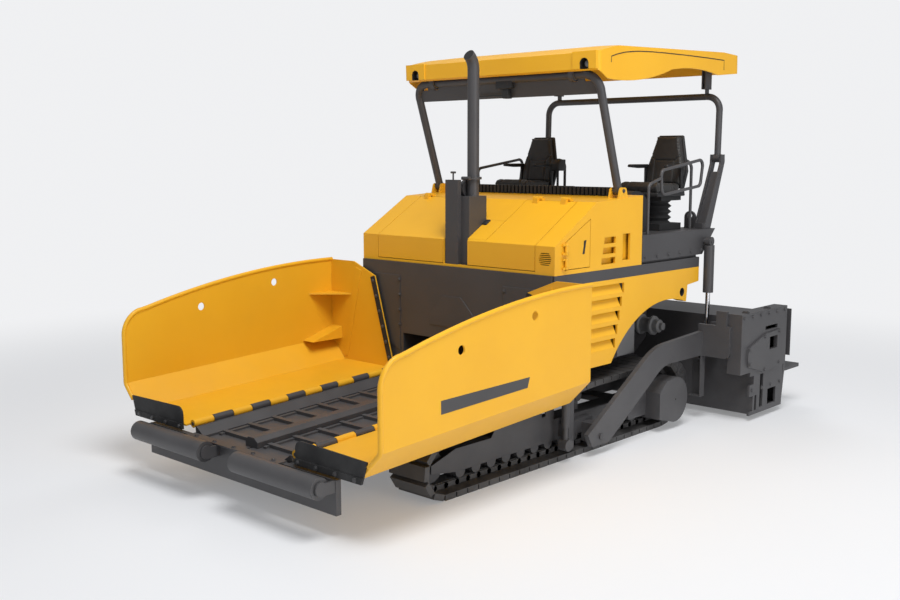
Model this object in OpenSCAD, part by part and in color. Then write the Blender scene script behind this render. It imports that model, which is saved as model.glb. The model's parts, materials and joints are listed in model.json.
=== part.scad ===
// Tracked asphalt paver: a hopper with folding wings at the front (-Y), a platform under a
// folding canopy, and a floating screed on two tow arms at the rear (+Y). +X is its left side.
// Stations along Y are measured from the front idler and shifted by mid_y, so that the origin
// lies on the ground under the middle of the machine.

/* [Track] */
// Half of the width over the body and the tracks
half_w = 1250; // [1200:10:1300]
// Width of a track shoe
shoe_w = 405; // [360:5:430]
// Thickness of a track shoe
shoe_t = 45; // [38:1:50]
// Number of shoes in a loop
shoe_count = 60; // [54:2:66]
// Gap between two shoes
shoe_gap = 14; // [8:1:24]
// Outer radius of the loop round the idler
idler_loop_r = 250; // [240:1:258]
// Outer radius of the loop round the sprocket
sprocket_loop_r = 345; // [330:1:350]
// Station of the idler's axle
idler_y = 70; // [40:5:100]
// Station of the sprocket's axle
sprocket_y = 3370; // [3300:10:3380]
// Station of the carrier roller under the top run
carrier_y = 2100; // [2000:10:2200]
// Height of the top run over the carrier roller
top_run_z = 665; // [640:5:680]
// Depth of the chain inside the shoes
chain_h = 60; // [50:1:66]
// Width of the chain
chain_w = 130; // [110:5:140]
// Number of rollers under the track frame
roller_count = 14; // [8:1:15]
// Diameter of a bottom roller
roller_d = 116; // [90:2:120]

/* [Frame] */
// Half of the main frame's width
frame_half = 660; // [640:5:670]
// Thickness of the frame's plates
plate_t = 20; // [12:1:24]
// Height of the belly plate over the ground
belly_z = 300; // [270:5:330]
// Station of the frame's front end
frame_front = -1040; // [-1060:5:-1020]
// Station of the hopper's back wall
wall_y = 1465; // [1460:1:1470]
// Station of the frame's upper rear end
tail_y = 3950; // [3920:5:3960]
// Height of the conveyor tunnel's roof
tunnel_z = 1000; // [950:10:1060]
// Lower edge of the belt beam round the body
belt_z = 1616; // [1600:2:1640]
// Height of the belt beam
belt_h = 104; // [90:2:120]

/* [Hopper] */
// Distance of a wing's hinge from the middle
hinge_x = 690; // [685:1:700]
// Height of the hinge at the front end
hinge_z = 509; // [505:1:530]
// Slope of the hopper floor in degrees, rising to the rear
hopper_tilt = 2.9; // [2.6:0.1:3.1]
// Distance of a wing's outer wall from the middle
wing_x = 1700; // [1640:5:1750]
// Distance of a wing's lower bend from the middle
bend_x = 1485; // [1440:5:1510]
// Height of a wing's upper bend above its floor
bend_h = 216; // [190:2:240]
// Station of a wing's front edge
wing_front = -1060; // [-1070:1:-1050]
// Station of a wing's rear face
wing_rear = 1430; // [1415:1:1435]
// Height of a wing's rim at its rear end
rim_z = 1688; // [1640:2:1720]
// Radius of the rim's long curve
rim_r = 8780; // [7800:20:9800]
// Radius of the rim's front corner
rim_corner_r = 230; // [180:5:260]
// Diameter of the tube round the rim
rim_d = 40; // [30:1:46]
// Thickness of a wing's plates
wing_t = 16; // [12:1:20]
// Diameter of a hinge knuckle
knuckle_d = 70; // [60:1:74]
// Diameter of the hinge pin
pin_d = 32; // [26:1:36]
// Number of knuckles on a wing
knuckle_count = 6; // [4:1:7]
// Width of a conveyor slat along the travel
slat_w = 45; // [35:1:60]
// Distance between two conveyor slats
slat_pitch = 260; // [200:5:320]

/* [Push beam] */
// Station of the push rollers' axle
push_y = -1220; // [-1230:1:-1215]
// Height of the push rollers' axle
push_z = 400; // [390:1:410]
// Diameter of a push roller
push_d = 170; // [150:2:180]
// Inner end of a push roller
push_in = 210; // [180:5:240]
// Outer end of a push roller
push_out = 1215; // [1180:5:1220]
// Lower edge of the push beam
push_low = 169; // [150:1:190]
// Diameter of a push roller's axle
push_axle_d = 50; // [40:1:56]

/* [Hood] */
// Station of the hood's front face
hood_front = 1490; // [1488:1:1495]
// Height of the hood's front face at its top
nose_z = 1982; // [1960:2:2000]
// Station of the hood's slope at its top
crest_y = 2123; // [2100:1:2140]
// Height of the hood's slope at its top
crest_z = 2357; // [2340:1:2365]
// Station of the hood's rear face
hood_rear = 2900; // [2880:2:2910]
// Height of the hood's rear edge
hood_rear_z = 2400; // [2390:1:2410]
// Thickness of the hood's panels
hood_t = 25; // [18:1:30]
// Distance of the lids' outer edges from the body's side
lid_edge = 220; // [190:5:250]
// Inner edge of the right lid
lid_in_right = 106; // [100:1:120]
// Inner edge of the left lid
lid_in_left = 203; // [202:1:215]
// Gap round lids and doors
panel_gap = 6; // [5:1:10]
// Station of a side door's hinge
door_y = 1640; // [1630:1:1660]
// Length of a side door
door_l = 390; // [360:5:410]
// Height of a side door's lower edge
door_z = 1760; // [1750:1:1775]

/* [Stack] */
// Diameter of the exhaust pipe
pipe_d = 114; // [100:1:116]
// Distance of the exhaust pipe from the middle
pipe_x = 130; // [126:1:136]
// Station of the exhaust pipe
pipe_y = 1660; // [1640:5:1680]
// Height of the exhaust pipe's folding joint
pipe_joint_z = 2570; // [2565:1:2600]
// Height of the exhaust pipe's upper bend
pipe_bend_z = 3593; // [3500:5:3650]

/* [Canopy] */
// Distance of the roof's side from the body's side
roof_edge = 15; // [0:5:40]
// Station of the roof's front edge
roof_front = 2116; // [2090:2:2130]
// Station of the roof's rear edge
roof_rear = 4790; // [4700:5:4820]
// Lower edge of the roof at its front
roof_z = 3574; // [3560:2:3590]
// Height of the roof's front lip
lip_h = 150; // [130:2:170]
// Thickness of the roof's shell
roof_t = 30; // [20:1:40]
// Thickness of the roof's side walls
roof_side_t = 14; // [10:1:24]
// Slope of the roof in degrees, rising to the rear
roof_tilt = 2.1; // [1.6:0.1:2.4]
// Height of the roof's crown above its lower line
crown_h = 262; // [240:2:280]
// Height of the roof's rear edge above its lower line
rear_lip_h = 185; // [170:1:200]
// Station of the front hoop's pivot
hoop_y = 2576; // [2560:2:2590]
// Height of the front hoop's pivot
hoop_z = 2450; // [2446:1:2460]
// Station of the front hoop's upper tube
hoop_top_y = 2210; // [2200:1:2220]
// Height of the front hoop's upper tube
hoop_top_z = 3535; // [3520:1:3540]
// Diameter of a hoop's posts
post_d = 80; // [70:1:84]
// Station of the rear hoop's pivot
rear_hoop_y = 4500; // [4490:1:4510]
// Height of the rear hoop's pivot
rear_hoop_z = 2757; // [2750:1:2765]
// Height of the rear hoop's upper tube
rear_top_z = 3420; // [3410:1:3430]
// Diameter of the rear hoop's tube
rear_tube_d = 70; // [60:1:74]
// Distance of the rear posts from the body's side
rear_post_edge = 90; // [85:1:100]

/* [Platform] */
// Height of the side boxes' top
box_z = 2008; // [2000:1:2014]
// Station of the side boxes' rear end at the top
box_rear = 4340; // [4320:5:4360]
// Width of a side box
box_w = 350; // [330:5:370]
// Distance of a seat from the body's side
seat_edge = 390; // [380:5:400]
// Station of a seat's back at its foot
seat_y = 3870; // [3860:5:3890]
// Width of a seat
seat_w = 480; // [440:5:500]
// Height of a seat's cushion at its top
cushion_z = 2500; // [2480:5:2520]
// Height of a seat's back
back_z = 3020; // [2980:5:3030]
// Diameter of a handrail
rail_d = 32; // [26:1:38]

/* [Screed] */
// Half of the width over the screed's end plates
screed_half = 1850; // [1800:10:1900]
// Height of the screed's sole over the ground
sole_z = 62; // [58:1:80]
// Station of the sole's front edge
sole_front = 4200; // [4190:2:4210]
// Station of the sole's rear edge
sole_rear = 4880; // [4860:5:4900]
// Height of the screed's boxes
screed_top_z = 1160; // [1120:5:1180]
// Station of the walkway's rear edge
walkway_rear = 5380; // [5300:5:5420]
// Height of the walkway
walkway_z = 450; // [430:5:470]
// Gap between the body's side and a tow arm
arm_gap = 100; // [96:1:104]
// Thickness of a tow arm
arm_t = 50; // [40:1:56]
// Station of the tow point
tow_y = 2040; // [2030:1:2050]
// Height of the tow point
tow_z = 179; // [175:1:190]
// Diameter of the tow pin
tow_pin_d = 60; // [50:1:64]
// Radius of an auger
auger_r = 170; // [150:1:174]
// Station of the augers' shaft
auger_y = 3910; // [3900:1:3915]
// Height of the augers' shaft
auger_z = 420; // [400:1:430]
// Diameter of a lift cylinder's barrel
barrel_d = 110; // [96:2:112]
// Diameter of a lift cylinder's rod
rod_d = 50; // [40:1:56]
// Station of the lift cylinders
lift_y = 4120; // [4115:1:4130]
// Height of the lift cylinder's upper pin
lift_z = 1880; // [1870:1:1890]

/* [Hidden] */
$fn = 48;

// Clearance of a turning pin, on the diameter
run_fit = 0.1;
// Side clearance of moving pieces
side_gap = 6;
yellow = [0.96, 0.70, 0.10];
dark = [0.25, 0.25, 0.26];
grey = [0.42, 0.42, 0.43];
black = [0.07, 0.07, 0.07];
steel = [0.80, 0.80, 0.82];

mid_y = (push_y - push_d / 2 + walkway_rear) / 2;
lid_out = half_w - lid_edge;
roof_half = half_w - roof_edge;
post_x = roof_half - roof_side_t - side_gap - post_d / 2;
rear_post_x = half_w - rear_post_edge;
seat_x = half_w - seat_edge;
arm_in = half_w + arm_gap;
arm_x = arm_in + arm_t;

module place() translate([0, -mid_y, 0]) children();

module side(s) {
    if (s > 0) children();
    else mirror([1, 0, 0]) children();
}

module both() for (s = [-1, 1]) side(s) children();

// Outline in Y and Z, extruded along X
module slab_x(x0, x1, outline) {
    translate([x0, 0, 0]) rotate([90, 0, 90]) linear_extrude(x1 - x0) polygon(outline);
}

// Outline in X and Z, extruded along Y
module slab_y(y0, y1, outline) {
    translate([0, y1, 0]) rotate([90, 0, 0]) linear_extrude(y1 - y0) polygon(outline);
}

module block(low, high) translate(low) cube(high - low);

module bar_x(x0, x1, y, z, d) translate([x0, y, z]) rotate([0, 90, 0]) cylinder(d = d, h = x1 - x0);

module bar_y(x, y0, y1, z, d) translate([x, y0, z]) rotate([-90, 0, 0]) cylinder(d = d, h = y1 - y0);

module bar_z(x, y, z0, z1, d) translate([x, y, z0]) cylinder(d = d, h = z1 - z0);

// Round bar between two points
module rod(a, b, d) {
    v = b - a;
    translate(a) rotate([0, acos(v.z / norm(v)), atan2(v.y, v.x)]) cylinder(d = d, h = norm(v));
}

// Bent tube through a list of points, with round bends of radius r
module elbow(a, p, b, d, r) {
    u = unit(p - a);
    v = unit(b - p);
    turn = acos(u * v);
    centre = p + unit(v - u) * r / cos(turn / 2);
    out = unit(p - u * r * tan(turn / 2) - centre);
    up = cross(out, u);
    multmatrix([[out.x, u.x, up.x, centre.x], [out.y, u.y, up.y, centre.y], [out.z, u.z, up.z, centre.z],
        [0, 0, 0, 1]])
        rotate_extrude(angle = turn) translate([r, 0]) circle(d = d + 2);
}

function cut_back(a, p, b, r) = r * tan(acos(unit(p - a) * unit(b - p)) / 2);

module tube(points, d, r) {
    last = len(points) - 1;
    for (i = [0:last - 1]) {
        v = unit(points[i + 1] - points[i]);
        from = i == 0 ? 0 : cut_back(points[i - 1], points[i], points[i + 1], r) - 3;
        to = i == last - 1 ? 0 : cut_back(points[i], points[i + 1], points[i + 2], r) - 3;
        rod(points[i] + v * from, points[i + 1] - v * to, d);
    }
    for (i = [1:1:last - 1]) elbow(points[i - 1], points[i], points[i + 1], d, r);
}

function unit(v) = v / norm(v);
function inward(a, b) = unit([a.y - b.y, b.x - a.x]);
// Outline drawn anticlockwise, moved inwards by t
function inset(p, t) = [for (i = [0:len(p) - 1])
    let (n = len(p), u = inward(p[(i + n - 1) % n], p[i]), v = inward(p[i], p[(i + 1) % n]))
    p[i] + (u + v) * t / (1 + u * v)];
function arc(c, r, a0, a1, n) = [for (i = [0:n])
    c + r * [cos(a0 + (a1 - a0) * i / n), sin(a0 + (a1 - a0) * i / n)]];

// Points of a round corner at p, between the directions to a and to b
function fillet(a, p, b, r) = let (u = unit(a - p), v = unit(b - p), half = acos(u * v) / 2,
    c = p + unit(u + v) * r / sin(half), s = p + u * r / tan(half) - c, e = p + v * r / tan(half) - c,
    a0 = atan2(s.y, s.x), turn = (atan2(e.y, e.x) - a0 + 540) % 360 - 180)
    arc(c, r, a0, a0 + turn, 6);

// Hopper floor: height of the hinge line at a station
function hinge_at(y) = hinge_z + (y - frame_front) * tan(hopper_tilt);

// Moves a piece drawn along Y onto the sloping hinge line, with its zero at the frame's front
module on_slope() translate([0, frame_front, hinge_z]) rotate([hopper_tilt, 0, 0]) children();

// Track loop, followed along the inner face of the shoes
chain_out_i = idler_loop_r - shoe_t;
chain_out_s = sprocket_loop_r - shoe_t;
run_bottom = sprocket_y - idler_y;
arc_s = PI * chain_out_s;
arc_i = PI * chain_out_i;
top_s = [sprocket_y, 2 * sprocket_loop_r - shoe_t];
top_c = [carrier_y, top_run_z - shoe_t];
top_i = [idler_y, 2 * idler_loop_r - shoe_t];
run_rear = norm(top_c - top_s);
run_front = norm(top_i - top_c);
loop_l = run_bottom + arc_s + run_rear + run_front + arc_i;
pitch = loop_l / shoe_count;
mark_s = run_bottom + arc_s;
mark_c = mark_s + run_rear;
mark_i = mark_c + run_front;
function loop_at(s) =
    s < run_bottom ? [idler_y + s, shoe_t] :
    s < mark_s ? [sprocket_y, sprocket_loop_r]
        + chain_out_s * [cos(-90 + 180 * (s - run_bottom) / arc_s), sin(-90 + 180 * (s - run_bottom) / arc_s)] :
    s < mark_c ? top_s + (top_c - top_s) * (s - mark_s) / run_rear :
    s < mark_i ? top_c + (top_i - top_c) * (s - mark_c) / run_front :
    [idler_y, idler_loop_r]
        + chain_out_i * [cos(90 + 180 * (s - mark_i) / arc_i), sin(90 + 180 * (s - mark_i) / arc_i)];
link = [for (i = [0:shoe_count]) loop_at((i % shoe_count) * pitch)];
// One shoe's outline: foot, outer corner, outer corner, foot
function shoe(p, q) = let (u = unit(q - p), out = [u.y, -u.x], g = u * shoe_gap / 2)
    [p + g, p + g + out * shoe_t, q - g + out * shoe_t, q - g];
shoes = [for (i = [0:shoe_count - 1]) each shoe(link[i], link[i + 1])];
function inner_loop(depth) = [for (i = [0:shoe_count - 1])
    let (u = unit(link[(i + 1) % shoe_count] - link[(i + shoe_count - 1) % shoe_count]))
    link[i] + [-u.y, u.x] * depth];
track_mid = half_w - shoe_w / 2;
base_t = 8;

module track(s) color(dark) place() side(s) {
    translate([half_w - shoe_w, 0, 0]) rotate([90, 0, 90]) linear_extrude(shoe_w) difference() {
        polygon(shoes);
        polygon(inner_loop(base_t));
    }
    translate([track_mid - chain_w / 2, 0, 0]) rotate([90, 0, 90]) linear_extrude(chain_w) difference() {
        polygon(inner_loop(base_t / 2));
        polygon(inner_loop(chain_h));
    }
}

// Track frame: a channel with the rollers between its cheeks
cheek_t = 12;
cheek_gap = 181;
cheek_in = track_mid - cheek_gap / 2;
cheek_out = track_mid + cheek_gap / 2;
ledge_z = 172;
channel_z = 250;
channel_top = 372;
idler_r = idler_loop_r - shoe_t - chain_h;
sprocket_r = sprocket_loop_r - shoe_t - chain_h;
channel_front = idler_y + idler_r + 30;
channel_rear = sprocket_y - sprocket_r - 40;
cross_ys = [900, 2750];
cross_w = 220;
panel_front = 760;
panel_rear = 1640;
panel_top = 520;
module track_frame(s) color(dark) place() side(s) {
    cheek = [[idler_y - 60, idler_loop_r - 35], [channel_front + 60, ledge_z], [channel_rear, ledge_z],
        [channel_rear, channel_top], [channel_front + 60, channel_top], [idler_y - 60, idler_loop_r + 35]];
    slab_x(cheek_in - cheek_t, cheek_in, cheek);
    slab_x(cheek_out, cheek_out + cheek_t, cheek);
    block([cheek_in, channel_front + 60, channel_z], [cheek_out, channel_rear, channel_top]);
    for (y = cross_ys)
        block([frame_half, y, belly_z], [cheek_in - cheek_t, y + cross_w, channel_top - plate_t]);
    difference() {
        slab_x(cheek_out, cheek_out + cheek_t, [[panel_front, channel_top - 1], [panel_rear, channel_top - 1],
            [panel_rear, panel_top], [panel_front + 60, panel_top - 60]]);
        block([cheek_out - 1, panel_rear - 180, channel_top + 50], [cheek_out + cheek_t + 1, panel_rear - 120, panel_top - 40]);
    }
}

roller_z = shoe_t + chain_h + roller_d / 2;
roller_y0 = idler_y + idler_r + 160;
roller_y1 = channel_rear - roller_d;
carrier_r = 50;
chain_slack = 3;
carrier_z = top_run_z - shoe_t - chain_h - carrier_r - chain_slack;
// The links lie as chords round a wheel, so the wheel is that much smaller
function chord_r(r, loop) = r * cos(pitch / loop * 90 / PI) - chain_slack;
module track_rollers(s) color(grey) place() side(s) {
    for (i = [0:roller_count - 1])
        bar_x(cheek_in, cheek_out, roller_y0 + (roller_y1 - roller_y0) * i / (roller_count - 1),
            roller_z + 0.3, roller_d);
    bar_x(cheek_in, cheek_out, idler_y, idler_loop_r, 70);
    bar_x(track_mid - 45, track_mid + 45, idler_y, idler_loop_r, 2 * chord_r(idler_r, chain_out_i));
    bar_x(track_mid - 30, track_mid + 30, sprocket_y, sprocket_loop_r, 2 * chord_r(sprocket_r, chain_out_s));
    bar_x(track_mid - 30, cover_in, sprocket_y, sprocket_loop_r, 300);
    bar_x(track_mid - 45, track_mid + 45, carrier_y, carrier_z, 2 * carrier_r);
    block([track_mid - 20, carrier_y - 25, channel_top], [track_mid + 20, carrier_y + 25, carrier_z]);
}

// Cover of the track drive, outside the sprocket
cover_in = half_w - 90;
cover_out = arm_x;
cover_r = 232;
cover_z = 305;
cover_front = 3070;
module drive_cover(s) color(grey) place() side(s) {
    bar_x(cover_in, cover_out, sprocket_y, cover_z, 2 * cover_r);
    slab_x(cover_in, cover_out, [[cover_front, cover_z - 165], [sprocket_y, cover_z - cover_r],
        [sprocket_y, cover_z + cover_r], [cover_front + 130, cover_z + cover_r - 20], [cover_front, cover_z + 110]]);
    block([cheek_out + cheek_t, channel_rear - 330, ledge_z], [half_w - 20, cover_front, channel_top + 40]);
}

tunnel_half = frame_half - plate_t;
belly_rear = 3650;
tail_low = 600;
module main_frame() color(dark) place() {
    both() slab_x(tunnel_half, frame_half, [[frame_front, belly_z], [belly_rear, belly_z], [belly_rear, tail_low],
        [tail_y, tail_low + 200], [tail_y, belt_z], [wall_y + plate_t, belt_z],
        [wall_y + plate_t, hinge_at(wall_y + plate_t) - knuckle_d], [frame_front, hinge_z - knuckle_d]]);
    block([-tunnel_half, frame_front, belly_z], [tunnel_half, belly_rear, belly_z + plate_t]);
    block([-tunnel_half, frame_front, belly_z], [tunnel_half, frame_front + plate_t, hinge_z - 130]);
    block([-tunnel_half, wall_y + plate_t, tunnel_z], [tunnel_half, tail_y, tunnel_z + plate_t]);
    block([-tunnel_half, tail_y - plate_t, tunnel_z], [tunnel_half, tail_y, belt_z]);
    block([-plate_t / 2, wall_y + plate_t, belly_z], [plate_t / 2, belly_rear, tunnel_z]);
}

belt_w = 120;
belt_rear = 4020;
belt_top = belt_z + belt_h;
module belt_frame() color(dark) place() {
    both() block([half_w - belt_w, hood_front, belt_z], [half_w, belt_rear, belt_top]);
    for (y = [hood_front, 2850, belt_rear - belt_w])
        block([-half_w + belt_w, y, belt_z], [half_w - belt_w, y + belt_w, belt_top]);
}

wall_half = half_w - 15;
hatch_t = 6;
wall_low = 700;
module back_wall() color(dark) place() {
    difference() {
        block([-wall_half, wall_y, wall_low], [wall_half, wall_y + plate_t, belt_top]);
        block([-tunnel_half, wall_y - 1, wall_low - 1], [tunnel_half, wall_y + plate_t + 1, tunnel_z]);
    }
    slab_y(wall_y - hatch_t, wall_y + 1, [[-260, tunnel_z + 130], [330, tunnel_z + 130], [330, tunnel_z + 250],
        [148, tunnel_z + 430], [-76, tunnel_z + 430], [-260, tunnel_z + 250]]);
    both() slab_y(wall_y - hatch_t, wall_y + 1, [[tunnel_half + 40, tunnel_z - 180], [wall_half - 60, tunnel_z],
        [wall_half - 60, belt_z - 30], [tunnel_half + 40, belt_z - 30]]);
}

// Knuckles stand alternately on the frame and on the wing along one pin
hinge_l = (wing_rear - wing_front - 60) / cos(hopper_tilt);
knuckle_l = hinge_l / (2 * knuckle_count);
function knuckle_y(i) = i * knuckle_l + 20;

deck_drop = 100;
cover_w = 110;
rail_x = hinge_x - knuckle_d / 2 - side_gap;
module hinge_rail(s) color(dark) place() side(s) on_slope() {
    for (i = [1:2:2 * knuckle_count - 1]) {
        bar_y(hinge_x, knuckle_y(i) + side_gap / 2, knuckle_y(i + 1) - side_gap / 2, 0, knuckle_d);
        block([rail_x - 1, knuckle_y(i) + side_gap / 2, -knuckle_d / 2 - 1],
            [hinge_x, knuckle_y(i + 1) - side_gap / 2, -pin_d / 2]);
    }
    bar_y(hinge_x, knuckle_y(0), knuckle_y(2 * knuckle_count), 0, pin_d);
    slab_y(knuckle_y(0), knuckle_y(2 * knuckle_count), [[rail_x - cover_w, -deck_drop],
        [tunnel_half, -deck_drop], [tunnel_half, -knuckle_d + 0.5], [rail_x, -knuckle_d + 0.5],
        [rail_x, -pin_d / 2], [rail_x - 20, -pin_d / 2], [rail_x - cover_w, -deck_drop + 20]]);
}

conveyor_rear = 3690;
deck_t = 12;
deck_l = (conveyor_rear - frame_front) / cos(hopper_tilt);
module conveyor(s) color(grey) place() side(s) on_slope() {
    block([plate_t / 2, plate_t + 20, -deck_drop - deck_t], [tunnel_half, deck_l - 60, -deck_drop]);
    for (x = [100, 480])
        block([x, 160, -deck_drop], [x + 34, deck_l - 60, -deck_drop + 18]);
    for (y = [200:slat_pitch:deck_l - 120])
        block([100, y, -deck_drop], [514, y + slat_w, -deck_drop + 30]);
}

ridge_w = 80;
module hopper_ridge() color(dark) place() on_slope() {
    slab_y(120, (wall_y - frame_front) / cos(hopper_tilt) - 10, [[-ridge_w, -deck_drop], [ridge_w, -deck_drop],
        [ridge_w, -deck_drop + 50], [ridge_w / 2, -deck_drop + 85], [-ridge_w / 2, -deck_drop + 85],
        [-ridge_w, -deck_drop + 50]]);
}

beam_half = 1245;
beam_d = 50;
beam_top = 440;
bracket_t = 18;
bracket_r = 55;
module push_beam() color(dark) place() {
    block([-beam_half, frame_front - beam_d, push_low], [beam_half, frame_front, beam_top]);
    block([-620, frame_front - beam_d - 40, beam_top], [620, frame_front, beam_top + 12]);
    both() {
        for (x = [push_in - side_gap - bracket_t, push_out + side_gap]) {
            block([x, push_y, push_z - bracket_r], [x + bracket_t, frame_front - beam_d, push_z + 40]);
            bar_x(x, x + bracket_t, push_y, push_z, 2 * bracket_r);
        }
        bar_x(push_in - side_gap, push_out + side_gap, push_y, push_z, push_axle_d);
    }
}

module push_roller(s) color(grey) place() side(s) difference() {
    bar_x(push_in, push_out, push_y, push_z, push_d);
    bar_x(push_in - 1, push_out + 1, push_y, push_z, push_axle_d + run_fit);
}

// Wing: sloping floor and 45 degree panel, outer wall with its curved rim, rear wall
floor_in = hinge_x + knuckle_d / 2 + side_gap;
rim_c = [wing_rear, rim_z - rim_r];
function rim_at(y) = rim_c.y + sqrt(rim_r * rim_r - pow(y - rim_c.x, 2));
corner_y = wing_front + rim_corner_r;
corner_z = rim_at(corner_y) - rim_corner_r;
function floor_at(y) = hinge_at(y);
rim_a = atan2(rim_at(corner_y) - rim_c.y, corner_y - rim_c.x);
rear_chamfer_x = 1325;
rear_edge_x = 1005;
rear_edge_z = 1560;
hole_d = 75;
gusset_w = 180;
gusset_l = 420;
gusset_z = 1330;
strip_t = 8;
module wing(s) color(yellow) place() side(s) difference() {
    union() {
        intersection() {
            on_slope() slab_y(-100, 2700, [[floor_in, -wing_t], [bend_x, -wing_t], [wing_x, bend_h - wing_t / 2],
                [wing_x, bend_h + 10], [wing_x - wing_t, bend_h + 10], [wing_x - wing_t, bend_h],
                [bend_x - wing_t / 3, 0], [floor_in, 0]]);
            block([0, wing_front, 0], [wing_x + 1, wing_rear, 3000]);
        }
        slab_x(wing_x - wing_t, wing_x, concat(
            [[wing_front, floor_at(wing_front) + bend_h], [wing_rear, floor_at(wing_rear) + bend_h]],
            arc(rim_c, rim_r, 90, rim_a, 12),
            arc([corner_y, corner_z], rim_corner_r, 100, 180, 6)));
        slab_y(wing_rear - wing_t, wing_rear, [[floor_in, floor_at(wing_rear) - wing_t],
            [bend_x, floor_at(wing_rear) - wing_t], [wing_x, floor_at(wing_rear) + bend_h], [wing_x, rim_z],
            [rear_chamfer_x, rim_z], [rear_edge_x, rear_edge_z], [floor_in, floor_at(wing_rear)]]);
        translate([wing_x - wing_t / 2, rim_c.x, rim_c.y]) rotate([90, 0, 90])
            rotate_extrude(angle = rim_a - 90, start = 90, $fn = 720) translate([rim_r, 0]) circle(d = rim_d, $fn = 16);
        slab_x(wing_x - gusset_w, wing_x - wing_t + 1, [[wing_rear - gusset_l, floor_at(wing_rear) + bend_h],
            [wing_rear - wing_t + 1, floor_at(wing_rear) + bend_h], [wing_rear - wing_t + 1, floor_at(wing_rear) + bend_h + 130]]);
        translate([0, 0, gusset_z]) linear_extrude(wing_t) polygon([[wing_x - wing_t + 1, wing_rear - wing_t + 1],
            [wing_x - 330, wing_rear - wing_t + 1], [wing_x - wing_t + 1, wing_rear - 330]]);
        slab_y(wing_rear - wing_t - strip_t, wing_rear - wing_t + 1, [[bend_x - 60, floor_at(wing_rear) + 40],
            [bend_x, floor_at(wing_rear) + 40], [rear_chamfer_x - 40, rim_z - 60], [rear_chamfer_x - 120, rim_z - 90]]);
        on_slope() for (i = [0:2:2 * knuckle_count - 2]) {
            bar_y(hinge_x, knuckle_y(i) + side_gap / 2, knuckle_y(i + 1) - side_gap / 2, 0, knuckle_d);
            block([hinge_x, knuckle_y(i) + side_gap / 2, -wing_t],
                [floor_in + 1, knuckle_y(i + 1) - side_gap / 2, 0]);
        }
    }
    on_slope() bar_y(hinge_x, -100, hinge_l + 200, 0, pin_d + run_fit);
    for (p = [[-230, 1345], [650, 1505]]) bar_x(wing_x - 100, wing_x + 100, p.x, p.y, hole_d);
}

flap_t = 14;
flap_top = hinge_z + 145;
flap_in = floor_in + 30;
module flap(s) color(black) place() side(s) {
    slab_y(wing_front - flap_t, wing_front, concat([[flap_in, hinge_z - 50], [bend_x + 20, hinge_z - 50],
        [bend_x + 80, flap_top - 20]], fillet([bend_x + 80, flap_top - 20], [flap_in, flap_top], [flap_in, hinge_z - 50], 70)));
    slab_y(wing_front - flap_t - strip_t, wing_front - flap_t + 1, [[flap_in, hinge_z - 50], [bend_x + 20, hinge_z - 50],
        [bend_x + 37, hinge_z], [flap_in, hinge_z]]);
}

tank_rear = 2700;
tank_low = 800;
tank_out = half_w - 130;
tank_t = 20;
module tank(s) color(grey) place() side(s) difference() {
    block([frame_half, wall_y + plate_t, tank_low], [tank_out, tank_rear, belt_z]);
    block([frame_half - 1, wall_y + plate_t + tank_t, tank_low + tank_t],
        [tank_out - tank_t, tank_rear - tank_t, belt_z - tank_t]);
}

engine_half = 300;
engine_front = 1900;
engine_rear = 2700;
engine_top = 1950;
module engine() color(dark) place()
    block([-engine_half, engine_front, tunnel_z + plate_t], [engine_half, engine_rear, engine_top]);

// Side skirt with a round cut behind the track, a flange round the cut, and pressed louvres
skirt_t = 25;
skirt_low = 803;
arch_r = 1223;
arch_c = [3406, 99];
flange_d = 110;
lamp_p = [3688, 1373];
lamp_d = 90;
louvre_count = 5;
louvre_step = 132;
louvre_h = 95;
louvre_z = 945;
louvre_y = 1900;
louvre_tip = 2470;
function louvre_end(i) = louvre_tip + i * 33;
skirt_line = [[hood_front, skirt_low], [arch_c.x, skirt_low], [3776, 1275], [3795, 1440], [belt_rear, 1462],
    [belt_rear, belt_z], [hood_front, belt_z]];
module arch_bar(x0, r) bar_x(x0, half_w + skirt_t, arch_c.x, arch_c.y, 2 * r);
module skirt(s) color(yellow) place() side(s) {
    difference() {
        slab_x(half_w - skirt_t, half_w, skirt_line);
        arch_bar(half_w - 2 * skirt_t, arch_r);
        bar_x(half_w - 2 * skirt_t, half_w + skirt_t, lamp_p.x, lamp_p.y, lamp_d);
        for (i = [0:louvre_count - 1]) block([half_w - 2 * skirt_t, louvre_y, louvre_z + i * louvre_step],
            [half_w + skirt_t, louvre_end(i), louvre_z + i * louvre_step + louvre_h]);
    }
    intersection() {
        slab_x(half_w - flange_d, half_w - 1, skirt_line);
        difference() {
            arch_bar(half_w - 2 * flange_d, arch_r + skirt_t / 2);
            arch_bar(half_w - 3 * flange_d, arch_r);
        }
    }
    for (i = [0:louvre_count - 1])
        slab_y(louvre_y - 1, louvre_end(i) - skirt_t, [for (p = [[-12, -3], [-1, -3], [-1, 6], [-44, louvre_h], [-52, louvre_h]])
            [half_w, louvre_z + i * louvre_step] + p]);
}

// Hood: one shell, from which lids and doors are cut with a gap
hood_line = [[hood_front, belt_top], [hood_rear, belt_top], [hood_rear, hood_rear_z], [crest_y, crest_z],
    [hood_front, nose_z]];
hood_void = [for (p = inset(hood_line, hood_t)) p.y < belt_top + 2 * hood_t ? [p.x, belt_top - 1] : p];
lid_low = belt_top + 25;
stack_half = 83;
stack_rear = 1790;
stack_box_z = 2400;
strip_x = 420;
module hood_shell() difference() {
    slab_x(-half_w, half_w, hood_line);
    slab_x(-half_w + hood_t, half_w - hood_t, hood_void);
}

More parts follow.
